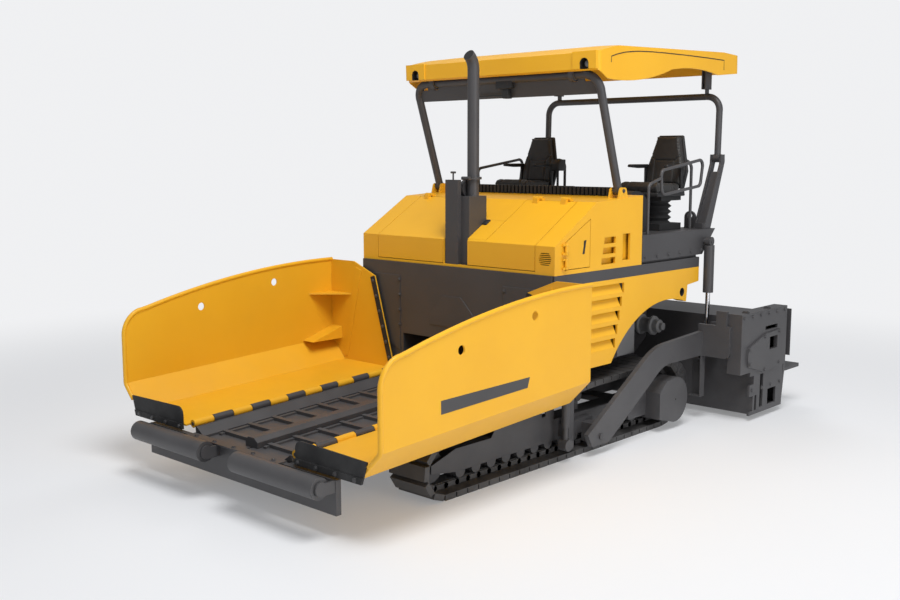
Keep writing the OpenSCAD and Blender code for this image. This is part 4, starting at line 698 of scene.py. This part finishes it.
seat_frame = join("seat_frame_left", [back_shell, seat_pan] + rests, black_plastic)
for piece, soft in ((back_pad, 0.85), (seat_pad, 0.8), (seat_frame, None)):
    twin = piece.copy()
    twin.data = piece.data.copy()
    twin.name = piece.name.replace("left", "right")
    scene.collection.objects.link(twin)
    for made, shift, node in ((piece, SEAT_X, "seat_left"), (twin, -SEAT_X, "seat_right")):
        made.data.transform(Matrix.Translation((shift, 0, 0)))
        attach(made, "chassis")
        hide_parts(node)

# Work lamps: round lamps in black cups, two in the arched niches of the roof's front corners and
# an empty cup in the round hole of each side skirt. A pressed bezel holds a domed clear lens.
def lamp_glass():
    made, n, link = material_of("lamp_lens")
    out = n.new("ShaderNodeOutputMaterial")
    skin = n.new("ShaderNodeBsdfPrincipled")
    skin.inputs["Roughness"].default_value = 0.08
    skin.inputs["Coat Weight"].default_value = 0.6
    link.new(skin.outputs[0], out.inputs["Surface"])
    place = n.new("ShaderNodeTexCoord")
    ribs = n.new("ShaderNodeTexWave")
    ribs.inputs["Scale"].default_value = 60.0
    link.new(place.outputs["Object"], ribs.inputs["Vector"])
    ramp = n.new("ShaderNodeValToRGB")
    ramp.color_ramp.elements[0].color = (0.16, 0.17, 0.18, 1.0)
    ramp.color_ramp.elements[1].color = (0.42, 0.43, 0.45, 1.0)
    link.new(ribs.outputs["Fac"], ramp.inputs["Fac"])
    link.new(ramp.outputs["Color"], skin.inputs["Base Color"])
    bump = n.new("ShaderNodeBump")
    bump.inputs["Strength"].default_value = 0.4
    bump.inputs["Distance"].default_value = 0.001
    link.new(ribs.outputs["Fac"], bump.inputs["Height"])
    link.new(bump.outputs["Normal"], skin.inputs["Normal"])
    return made


lamp_lens = lamp_glass()


def lathe(name, profile, centre, way, steps=40):
    """A turned piece: a profile of radius and height, swept round an axis from its centre."""
    axis = Vector(way).normalized()
    side = axis.orthogonal().normalized()
    over = axis.cross(side)
    built = bmesh.new()
    rings = []
    for radius, height in profile:
        turned = []
        for i in range(steps):
            a = 2 * math.pi * i / steps
            spot = centre + axis * height + (side * math.cos(a) + over * math.sin(a)) * radius
            turned.append(built.verts.new(spot))
        rings.append(turned)
    wrap(built, rings)
    built.faces.new(list(reversed(rings[0])))
    built.faces.new(rings[-1])
    return piece_of(name, built)


def shade_by_angle(made, degrees):
    """Smooth on its curves and sharp at its corners."""
    for face in made.data.polygons:
        face.use_smooth = True
    made.data.set_sharp_from_angle(angle=math.radians(degrees))


def give(made, coat, body):
    made.data.materials.clear()
    made.data.materials.append(coat)
    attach(made, body)
    return made


def round_lamp(name, centre, way, radius, body):
    lens_r = radius * 0.80
    bezel_line = [(radius, -0.020), (radius, 0.002), (radius * 0.93, 0.006), (radius * 0.84, 0.002),
                  (lens_r, -0.006), (radius * 0.50, -0.010)]
    bezel = lathe(f"{name}_bezel", bezel_line, centre, way)
    shade_by_angle(bezel, 35)
    give(bezel, black_plastic, body)
    turns = [math.radians(12 * i) for i in range(8)]
    dome = [(lens_r * math.cos(a), 0.012 * math.sin(a) - 0.004) for a in turns]
    lens = lathe(f"{name}_lens", [(lens_r, -0.008)] + dome, centre, way)
    shade_by_angle(lens, 40)
    give(lens, lamp_lens, body)


ROOF_FRONT = 2116
ROOF_Z = 3574
ROOF_TILT = math.radians(2.1)
NICHE_X, NICHE_R, NICHE_Z, NICHE_LOW = 1089, 48, 50, 2
CUP_MOUTH, CUP_FLOOR, CUP_REAR, CUP_SHARE = -8, 70, 73, 0.93
SKIRT_HOLE_X, SKIRT_HOLE_Y, SKIRT_HOLE_Z = 1250, 3688, 1373


def in_roof(x, d, h):
    """A point of the roof: across it, back from its front lip, and up from its lower line."""
    return at(x, ROOF_FRONT + d * math.cos(ROOF_TILT) - h * math.sin(ROOF_TILT),
              ROOF_Z + d * math.sin(ROOF_TILT) + h * math.cos(ROOF_TILT))


for name, side in SIDES:
    turns = [math.pi * i / 16 for i in range(1, 16)]
    arch = [(-NICHE_R, NICHE_LOW), (-NICHE_R, NICHE_Z)]
    arch += [(-NICHE_R * math.cos(a), NICHE_Z + NICHE_R * math.sin(a)) for a in turns]
    arch += [(NICHE_R, NICHE_Z), (NICHE_R, NICHE_LOW)]
    inner = [(u * CUP_SHARE, v if v == NICHE_LOW else NICHE_Z + (v - NICHE_Z) * CUP_SHARE) for u, v in arch]
    built = bmesh.new()
    mouth_out = [built.verts.new(in_roof(side * NICHE_X + u, CUP_MOUTH, v)) for u, v in arch]
    mouth_in = [built.verts.new(in_roof(side * NICHE_X + u, CUP_MOUTH, v)) for u, v in inner]
    floor_in = [built.verts.new(in_roof(side * NICHE_X + u, CUP_FLOOR, v)) for u, v in inner]
    floor_out = [built.verts.new(in_roof(side * NICHE_X + u, CUP_REAR, v)) for u, v in arch]
    for near, far in ((mouth_out, mouth_in), (mouth_in, floor_in), (floor_out, mouth_out)):
        for i in range(len(arch) - 1):
            built.faces.new((near[i], near[i + 1], far[i + 1], far[i]))
    built.faces.new(floor_in)
    built.faces.new(list(reversed(floor_out)))
    cup = piece_of(f"niche_cup_{name}", built)
    shade_by_angle(cup, 40)
    give(cup, black_plastic, "roof")
    round_lamp(f"roof_lamp_{name}", in_roof(side * NICHE_X, 45, 47), (0, -1, 0), 0.040, "roof")
    cup_line = [(0.044, -0.050), (0.044, -0.001), (0.040, -0.001), (0.040, -0.046), (0.002, -0.046)]
    skirt_hole = at(side * SKIRT_HOLE_X, SKIRT_HOLE_Y, SKIRT_HOLE_Z)
    skirt_cup = lathe(f"skirt_cup_{name}", cup_line, skirt_hole, (side, 0, 0))
    shade_by_angle(skirt_cup, 40)
    give(skirt_cup, black_rubber, "chassis")

# Roof's side panel: a black rubber seal lies in the arched joint between the side panel and the
# roof's top shell, and runs down as a thin line at its rear end.
SEAL_W, SEAL_IN, SEAL_OUT = 9, 1230, 1236.5
seal_path = [(2331, 3640), (2331, 3693), (2420, 3718), (2560, 3746), (2760, 3768), (2998, 3780), (3300, 3787),
             (3700, 3792), (4100, 3793), (4439, 3791), (4439, 3690)]


def ribbon(name, path, width, low, high):
    """A flat strip along a path in the plane of a side, from one height over it to another."""
    built = bmesh.new()
    rows = []
    for i, (y, z) in enumerate(path):
        before = Vector(path[max(i - 1, 0)])
        after = Vector(path[min(i + 1, len(path) - 1)])
        run = (after - before).normalized()
        over = Vector((-run.y, run.x)) * width / 2
        rows.append([built.verts.new(at(x, y + t * over.x, z + t * over.y))
                     for x in (low, high) for t in (-1, 1)])
    for a, b in zip(rows, rows[1:]):
        for i, k in ((0, 1), (1, 3), (3, 2), (2, 0)):
            built.faces.new((a[i], a[k], b[k], b[i]))
    for end in (rows[0], rows[-1]):
        built.faces.new((end[0], end[1], end[3], end[2]))
    return piece_of(name, built)


for name, side in SIDES:
    seal = ribbon(f"roof_seal_{name}", seal_path, SEAL_W, side * SEAL_IN, side * SEAL_OUT)
    give(seal, black_rubber, "roof")

# Track chains: forged link plates in pairs along the inside of the shoes, joined by pins.
# The shoes themselves are the loop of the solid.
SHOES = 60
SHOE_T, CHAIN_H = 45, 60
IDLER_Y, IDLER_R, SPROCKET_Y, SPROCKET_R = 70, 250, 3370, 345
CARRIER_Y, TOP_RUN = 2100, 665
TRACK_MID, LINK_X, LINK_SHARE = 1047.5, 74, 0.55


def loop_points():
    """The joints of the shoes along the loop, at their inner faces, as station and height."""
    wheel_i, wheel_s = IDLER_R - SHOE_T, SPROCKET_R - SHOE_T
    top_s = Vector((SPROCKET_Y, 2 * SPROCKET_R - SHOE_T))
    top_c = Vector((CARRIER_Y, TOP_RUN - SHOE_T))
    top_i = Vector((IDLER_Y, 2 * IDLER_R - SHOE_T))
    runs = [SPROCKET_Y - IDLER_Y, math.pi * wheel_s, (top_c - top_s).length, (top_i - top_c).length,
            math.pi * wheel_i]
    step = sum(runs) / SHOES
    spots = []
    for i in range(SHOES):
        s, leg = i * step, 0
        while s > runs[leg]:
            s -= runs[leg]
            leg += 1
        share = s / runs[leg]
        if leg == 0:
            spots.append(Vector((IDLER_Y + s, SHOE_T)))
        elif leg == 1:
            a = math.radians(180 * share - 90)
            spots.append(Vector((SPROCKET_Y + wheel_s * math.cos(a), SPROCKET_R + wheel_s * math.sin(a))))
        elif leg == 2:
            spots.append(top_s.lerp(top_c, share))
        elif leg == 3:
            spots.append(top_c.lerp(top_i, share))
        else:
            a = math.radians(90 + 180 * share)
            spots.append(Vector((IDLER_Y + wheel_i * math.cos(a), IDLER_R + wheel_i * math.sin(a))))
    return spots, step / 1000


def link_shape(n, link, into):
    """A link plate with its two pin bosses, lying along the point's own Y, inside along Z."""
    whole = n.new("GeometryNodeJoinGeometry")
    plate = n.new("GeometryNodeMeshCube")
    size = n.new("ShaderNodeCombineXYZ")
    link.new(into.outputs["Plate thickness"], size.inputs["X"])
    link.new(into.outputs["Pitch"], size.inputs["Y"])
    link.new(into.outputs["Plate height"], size.inputs["Z"])
    link.new(size.outputs[0], plate.inputs["Size"])
    link.new(plate.outputs["Mesh"], whole.inputs[0])
    for end in (-0.5, 0.5):
        boss = n.new("GeometryNodeMeshCylinder")
        boss.inputs["Vertices"].default_value = 20
        link.new(into.outputs["Boss radius"], boss.inputs["Radius"])
        link.new(into.outputs["Boss length"], boss.inputs["Depth"])
        along = n.new("ShaderNodeMath")
        along.operation = "MULTIPLY"
        along.inputs[1].default_value = end
        link.new(into.outputs["Pitch"], along.inputs[0])
        spot = n.new("ShaderNodeCombineXYZ")
        link.new(along.outputs[0], spot.inputs["Y"])
        stand = n.new("GeometryNodeTransform")
        stand.inputs["Rotation"].default_value = (0.0, math.pi / 2, 0.0)
        link.new(boss.outputs["Mesh"], stand.inputs["Geometry"])
        link.new(spot.outputs[0], stand.inputs["Translation"])
        link.new(stand.outputs[0], whole.inputs[0])
    return whole.outputs[0]


joints_of_loop, pitch = loop_points()
chain_links = place_tree("chain_links", {"Pitch": 0.1, "Plate height": 0.044, "Plate thickness": 0.016,
                                         "Boss radius": 0.024, "Boss length": 0.024}, link_shape)
for name, side in SIDES:
    link_spots = []
    for a, b in zip(joints_of_loop, joints_of_loop[1:] + joints_of_loop[:1]):
        run = (b - a).normalized()
        inside = Vector((-run.y, run.x))
        middle = (a + b) / 2 + inside * (CHAIN_H * LINK_SHARE)
        lie = math.atan2(run.y, run.x)
        for x in (-LINK_X, LINK_X):
            link_spots.append((at(side * (TRACK_MID + x), middle.x, middle.y), Euler((lie, 0, 0))))
    set_on(f"chain_links_{name}", chain_links, link_spots, "chassis", track_steel, "dark_paint", Pitch=pitch)

# Canopy fittings: dark covers over the roof's hinge lugs and rear cheeks, and the wiper motor with
# its arm on the front visor. The covers stand a little proud of the lugs and clear the hoops.
HOOP_TOP = (2210, 3535)
LUG_X, LUG_HALF, LUG_R, LUG_BORE, LUG_TOP = 900, 26.5, 63.5, 43.0, 150.0
CHEEK_X, CHEEK_Y, CHEEK_LOW, CHEEK_TOP = (983, 1017), 4500, 3498, 3720
CHEEK_HALF, CHEEK_REACH = 7.5, 66.5


def lug_reach(a):
    """How far the lug's cover reaches from the hinge: round below it, square above it."""
    if math.sin(a) <= 0.0:
        return LUG_R
    return min(LUG_R / max(abs(math.cos(a)), 0.001), LUG_TOP / math.sin(a))


def bore_reach(a):
    """How far the cover's bore lies from the hinge, the same all round."""
    return LUG_BORE


def lug_cover(name, x):
    built = bmesh.new()
    turns = [2 * math.pi * i / 96 for i in range(96)]
    rings = []
    for across, reach in ((x - LUG_HALF, lug_reach), (x + LUG_HALF, lug_reach),
                          (x + LUG_HALF, bore_reach), (x - LUG_HALF, bore_reach)):
        rings.append([built.verts.new(at(across, HOOP_TOP[0] + reach(a) * math.cos(a),
                                         HOOP_TOP[1] + reach(a) * math.sin(a))) for a in turns])
    wrap(built, rings + rings[:1])
    return piece_of(name, built)


def box(name, low, high):
    """A plain block between two corners, in millimetres along the machine."""
    outline = [(low[1], low[2]), (high[1], low[2]), (high[1], high[2]), (low[1], high[2])]
    return prism(name, outline, low[0], high[0], in_seat)


def span(side, near, far):
    """The lower and upper X of a piece on one side, from its distances from the middle."""
    return sorted((side * near, side * far))


for name, side in SIDES:
    give(lug_cover(f"lug_cover_{name}", side * LUG_X), dark_paint, "roof")
    plates = []
    for x in CHEEK_X:
        low, high = span(side, x - CHEEK_HALF, x + CHEEK_HALF)
        plates.append(box(f"cheek_{name}_{x}", (low, CHEEK_Y - CHEEK_REACH, CHEEK_LOW),
                          (high, CHEEK_Y + CHEEK_REACH, CHEEK_TOP)))
    cheeks = join(f"cheek_covers_{name}", plates, dark_paint)
    shade_by_angle(cheeks, 30)
    give(cheeks, dark_paint, "roof")
motor = box("wiper_motor", (-40, 2176, 3440), (165, 2232, 3540))
soften(motor, 0.008, 2)
bracket = box("wiper_bracket", (40, 2190, 3345), (110, 2262, 3445))
soften(bracket, 0.006, 2)
wiper = box("wiper_arm", (-330, 2205, 3372), (45, 2217, 3384))
wiper_motor = join("wiper", [motor, bracket, wiper], black_plastic)
shade_by_angle(wiper_motor, 35)
give(wiper_motor, black_plastic, "front_hoop")

# Hood fittings: the slanted black grip of each side door, a black disc on the exhaust pipe's mouth for
# its soot and for painted shade inside the open pipe, and the plug in the middle of each drive cover.
GRIP_IN, GRIP_OUT = 1246, 1251.5
GRIP_LINE = [(1908, 1890), (1936, 1890), (1966, 2016), (1938, 2016)]
PLUG_X, PLUG_Y, PLUG_Z, PLUG_R, PLUG_DEEP, PLUG_PROUD = 1400, 3369, 307, 0.010, 0.004, 0.0008
for name, side in SIDES:
    grip = prism(f"door_grip_{name}", GRIP_LINE, *span(side, GRIP_IN, GRIP_OUT), in_seat)
    give(grip, black_plastic, f"door_{name}")
    plug = lathe(f"drive_plug_{name}", [(PLUG_R, -PLUG_DEEP), (PLUG_R, PLUG_PROUD)],
                 at(side * PLUG_X, PLUG_Y, PLUG_Z), (side, 0, 0))
    give(plug, black_rubber, "chassis")
PIPE_X, PIPE_Y, BEND_Z, BEND_R, BEND = 130, 1660, 3593, 160, math.radians(55.0)
MOUTH_R, MOUTH_DEEP, MOUTH_PROUD = 0.051, 0.006, 0.0012
tip = at(PIPE_X, PIPE_Y - BEND_R + BEND_R * math.cos(BEND), BEND_Z + BEND_R * math.sin(BEND))
# The black disc on the mouth is the pipe's soot together with painted shade of the open pipe's inside.
mouth = lathe("exhaust_mouth", [(MOUTH_R, -MOUTH_DEEP), (MOUTH_R, MOUTH_PROUD)], tip,
              (0, -math.sin(BEND), math.cos(BEND)))
give(mouth, black_rubber, "exhaust")

# Hopper wings: a plain dark stripe along the lower part of each wing's outer face.
STRIPE_IN, STRIPE_OUT = 1697, 1701
STRIPE_LINE = [(-455, 891), (560, 929), (590, 1014), (-455, 996)]
for name, side in SIDES:
    stripe = prism(f"wing_stripe_{name}", STRIPE_LINE, *span(side, STRIPE_IN, STRIPE_OUT), in_seat)
    give(stripe, dark_paint, f"wing_{name}")

# Hood infill: the fixed yellow panel that closes the slope between the exhaust stack and the lid,
# with the small black air inlet beside the stack, and the inner panels behind the side vents.
NOSE_Y, NOSE_Z, CREST_Y, CREST_Z = 1490, 1982, 2123, 2357
PANEL_IN, PANEL_OUT, PANEL_LOW, PANEL_TOP, PANEL_T = 189, 419, 1518, 1804, 22
INLET_OUT, INLET_LOW, INLET_TOP, INLET_PROUD, INLET_DEEP = 246, 1722, 1788, 14, 4
VENT_FRONT, VENT_REAR = 2190, 2730
VENT_WALLS = ((1190, 1196, 1748, 2100), (1190, 1226, 2096, 2102))


def on_hood(y, lift=0.0):
    """A point of the hood's front slope, as station and height, lifted off it."""
    return (y, NOSE_Z + (y - NOSE_Y) * (CREST_Z - NOSE_Z) / (CREST_Y - NOSE_Y) + lift)


infill_line = [on_hood(PANEL_LOW), on_hood(PANEL_TOP), on_hood(PANEL_TOP, -PANEL_T),
               on_hood(PANEL_LOW, -PANEL_T)]
infill = prism("hood_infill", infill_line, PANEL_IN, PANEL_OUT, in_seat)
give(infill, yellow_paint, "chassis")
inlet_line = [on_hood(INLET_LOW, INLET_PROUD), on_hood(INLET_TOP, INLET_PROUD),
              on_hood(INLET_TOP, -INLET_DEEP), on_hood(INLET_LOW, -INLET_DEEP)]
inlet = prism("air_inlet", inlet_line, PANEL_IN, INLET_OUT, in_seat)
soften(inlet, 0.006, 2)
give(inlet, black_rubber, "chassis")
for name, side in SIDES:
    walls = []
    for near, far, z_low, z_high in VENT_WALLS:
        low, high = span(side, near, far)
        walls.append(box(f"vent_wall_{name}_{z_low}", (low, VENT_FRONT, z_low), (high, VENT_REAR, z_high)))
    backing = join(f"vent_backing_{name}", walls, yellow_paint)
    shade_by_angle(backing, 30)
    give(backing, yellow_paint, "chassis")

# Rear posts: a folded web closes each slanted post between its two plates, below the hoop's eye.
WEB_IN, WEB_OUT = 1113, 1207
WEB_LINE = [(4178, 2012), (4266, 2012), (4532, 2612), (4466, 2612)]
for name, side in SIDES:
    web = prism(f"post_web_{name}", WEB_LINE, *span(side, WEB_IN, WEB_OUT), in_seat)
    give(web, dark_paint, "chassis")

# Behind the arch: the light grey end of the fuel tank and the hydraulic pump on the frame's side,
# a turned housing with two flanges and a ported cover.
TANK_IN, TANK_OUT, TANK_FRONT, TANK_REAR, TANK_LOW, TANK_TOP = 860, 1118, 2699, 3015, 802, 1450
PUMP_X, PUMP_Y, PUMP_Z = 640, 3790, 965
PUMP_LINE = [(0.085, -0.02), (0.085, 0.05), (0.110, 0.05), (0.110, 0.075), (0.078, 0.080), (0.078, 0.200),
             (0.104, 0.200), (0.104, 0.225), (0.070, 0.230), (0.070, 0.290), (0.040, 0.300), (0.040, 0.335),
             (0.022, 0.340)]
tank_grey = finish("tank_grey", paint=(0.24, 0.24, 0.245), shade=(0.21, 0.21, 0.215), roughness=0.45,
                   dust=0.12, height=1.0, wear=0.2, bare=(0.34, 0.34, 0.345), radius=0.004,
                   grain=260.0, depth=0.0006)
for name, side in SIDES:
    low, high = span(side, TANK_IN, TANK_OUT)
    tank_end = box(f"tank_end_{name}", (low, TANK_FRONT, TANK_LOW), (high, TANK_REAR, TANK_TOP))
    soften(tank_end, 0.012, 3)
    shade_by_angle(tank_end, 35)
    give(tank_end, tank_grey, "chassis")
    housing = lathe(f"pump_{name}", PUMP_LINE, at(side * PUMP_X, PUMP_Y, PUMP_Z), (side, 0, 0))
    shade_by_angle(housing, 35)
    give(housing, tank_grey, "chassis")

# Control box: a small box with a sloping face on a post beside the right seat.
POST_X, POST_Y, POST_Z, POST_R, POST_H = -520, 3860, 2010, 0.014, 0.62
CASE_HALF = 65
CASE_LINE = [(3790, 2612), (3925, 2612), (3925, 2742), (3830, 2742), (3790, 2690)]
post = lathe("control_post", [(POST_R, 0.0), (POST_R, POST_H)], at(POST_X, POST_Y, POST_Z), UP, 20)
case = prism("control_case", CASE_LINE, POST_X - CASE_HALF, POST_X + CASE_HALF, in_seat)
soften(case, 0.008, 2)
controls = join("control_box", [post, case], black_plastic)
shade_by_angle(controls, 35)
give(controls, black_plastic, "chassis")

# Roof infill: a thin sheet under each side of the roof's crown, which closes the slit that the shell
# leaves there. It follows the shell's outside, and lies within the shell where that is whole.
CROWN_Y, CROWN_H, CROWN_FRONT_R, CROWN_REAR_R = 1000, 262, 4520.3, 18235.1
CROSS_R, CROSS_LIFT = 15000, 3
SHEET_DEEP, SHEET_T = 1.5, 0.007
SHEET_IN, SHEET_OUT, SHEET_START, SHEET_END = 800, 1221.5, 480, 2020


def under_crown(x, along):
    """A point just under the roof's outside, at a length from its front lip."""
    bend = CROWN_FRONT_R if along < CROWN_Y else CROWN_REAR_R
    lengthwise = CROWN_H - bend + math.sqrt(bend ** 2 - (along - CROWN_Y) ** 2)
    crosswise = CROWN_H + CROSS_LIFT - CROSS_R + math.sqrt(CROSS_R ** 2 - x ** 2)
    return in_roof(x, along, min(lengthwise, crosswise) - SHEET_DEEP)


for name, side in SIDES:
    built = bmesh.new()
    bmesh.ops.create_grid(built, x_segments=14, y_segments=40, size=0.5)
    for corner in built.verts:
        across, along = corner.co.x + 0.5, corner.co.y + 0.5
        corner.co = under_crown(side * (SHEET_IN + across * (SHEET_OUT - SHEET_IN)),
                                SHEET_START + along * (SHEET_END - SHEET_START))
    if side < 0:
        bmesh.ops.reverse_faces(built, faces=built.faces[:])
    bmesh.ops.solidify(built, geom=built.faces[:], thickness=SHEET_T)
    sheet = piece_of(f"roof_infill_{name}", built, outward=False)
    give(sheet, yellow_paint, "roof")

# Wing edges: the rolled rim goes on round each wing's front corner and down its front edge, and a
# dark sealing strip is bolted along the inner edge of the rear wall.
RIM_R = 0.020
CORNER_Y, CORNER_Z, CORNER_R = -830, 1162, 230
WING_MID, WING_FRONT, WING_REAR_FACE = 1692, -1060, 1414
EDGE_TOP, EDGE_LOW = Vector((1005, 1560)), Vector((742, 672))
STRIP_W, STRIP_T, STRIP_SUNK = 60, 9, 1
RIM_START = ((-800, 1400), (-855, 1388))
RIM_DOWN = (1000, 800, 735)
RIM_TURN_IN = ((1685, 712), (1640, 664), (1572, 596))


def pipe(name, path, radius, steps=16):
    """A round bar along a path, with a flat end at each side."""
    built = bmesh.new()
    rings = []
    over = Vector((1, 0, 0))
    for i, spot in enumerate(path):
        run = (path[min(i + 1, len(path) - 1)] - path[max(i - 1, 0)]).normalized()
        side_way = (over - run * over.dot(run)).normalized()
        up_way = run.cross(side_way)
        turns = [2 * math.pi * k / steps for k in range(steps)]
        rings.append([built.verts.new(spot + (side_way * math.cos(a) + up_way * math.sin(a)) * radius)
                      for a in turns])
    wrap(built, rings)
    built.faces.new(list(reversed(rings[0])))
    built.faces.new(rings[-1])
    return piece_of(name, built)


for name, side in SIDES:
    bend = [math.radians(a) for a in range(108, 181, 6)]
    path = [at(side * WING_MID, y, z) for y, z in RIM_START]
    path += [at(side * WING_MID, CORNER_Y + CORNER_R * math.cos(a), CORNER_Z + CORNER_R * math.sin(a))
             for a in bend]
    path += [at(side * WING_MID, WING_FRONT, z) for z in RIM_DOWN]
    path += [at(side * x, WING_FRONT, z) for x, z in RIM_TURN_IN]
    rim = pipe(f"wing_rim_{name}", path, RIM_R)
    shade_by_angle(rim, 40)
    give(rim, yellow_paint, f"wing_{name}")
    run = (EDGE_LOW - EDGE_TOP).normalized()
    inside = Vector((-run.y, run.x))
    corners = [EDGE_TOP, EDGE_LOW, EDGE_LOW + inside * STRIP_W, EDGE_TOP + inside * STRIP_W]
    strip = prism(f"wing_seal_{name}", [(side * c.x, c.y) for c in corners], WING_REAR_FACE - STRIP_T,
                  WING_REAR_FACE + STRIP_SUNK, lambda u, v, w: at(u, w, v))
    give(strip, black_rubber, f"wing_{name}")

# The box round the dressed machine, its solids and the added pieces.
low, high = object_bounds()
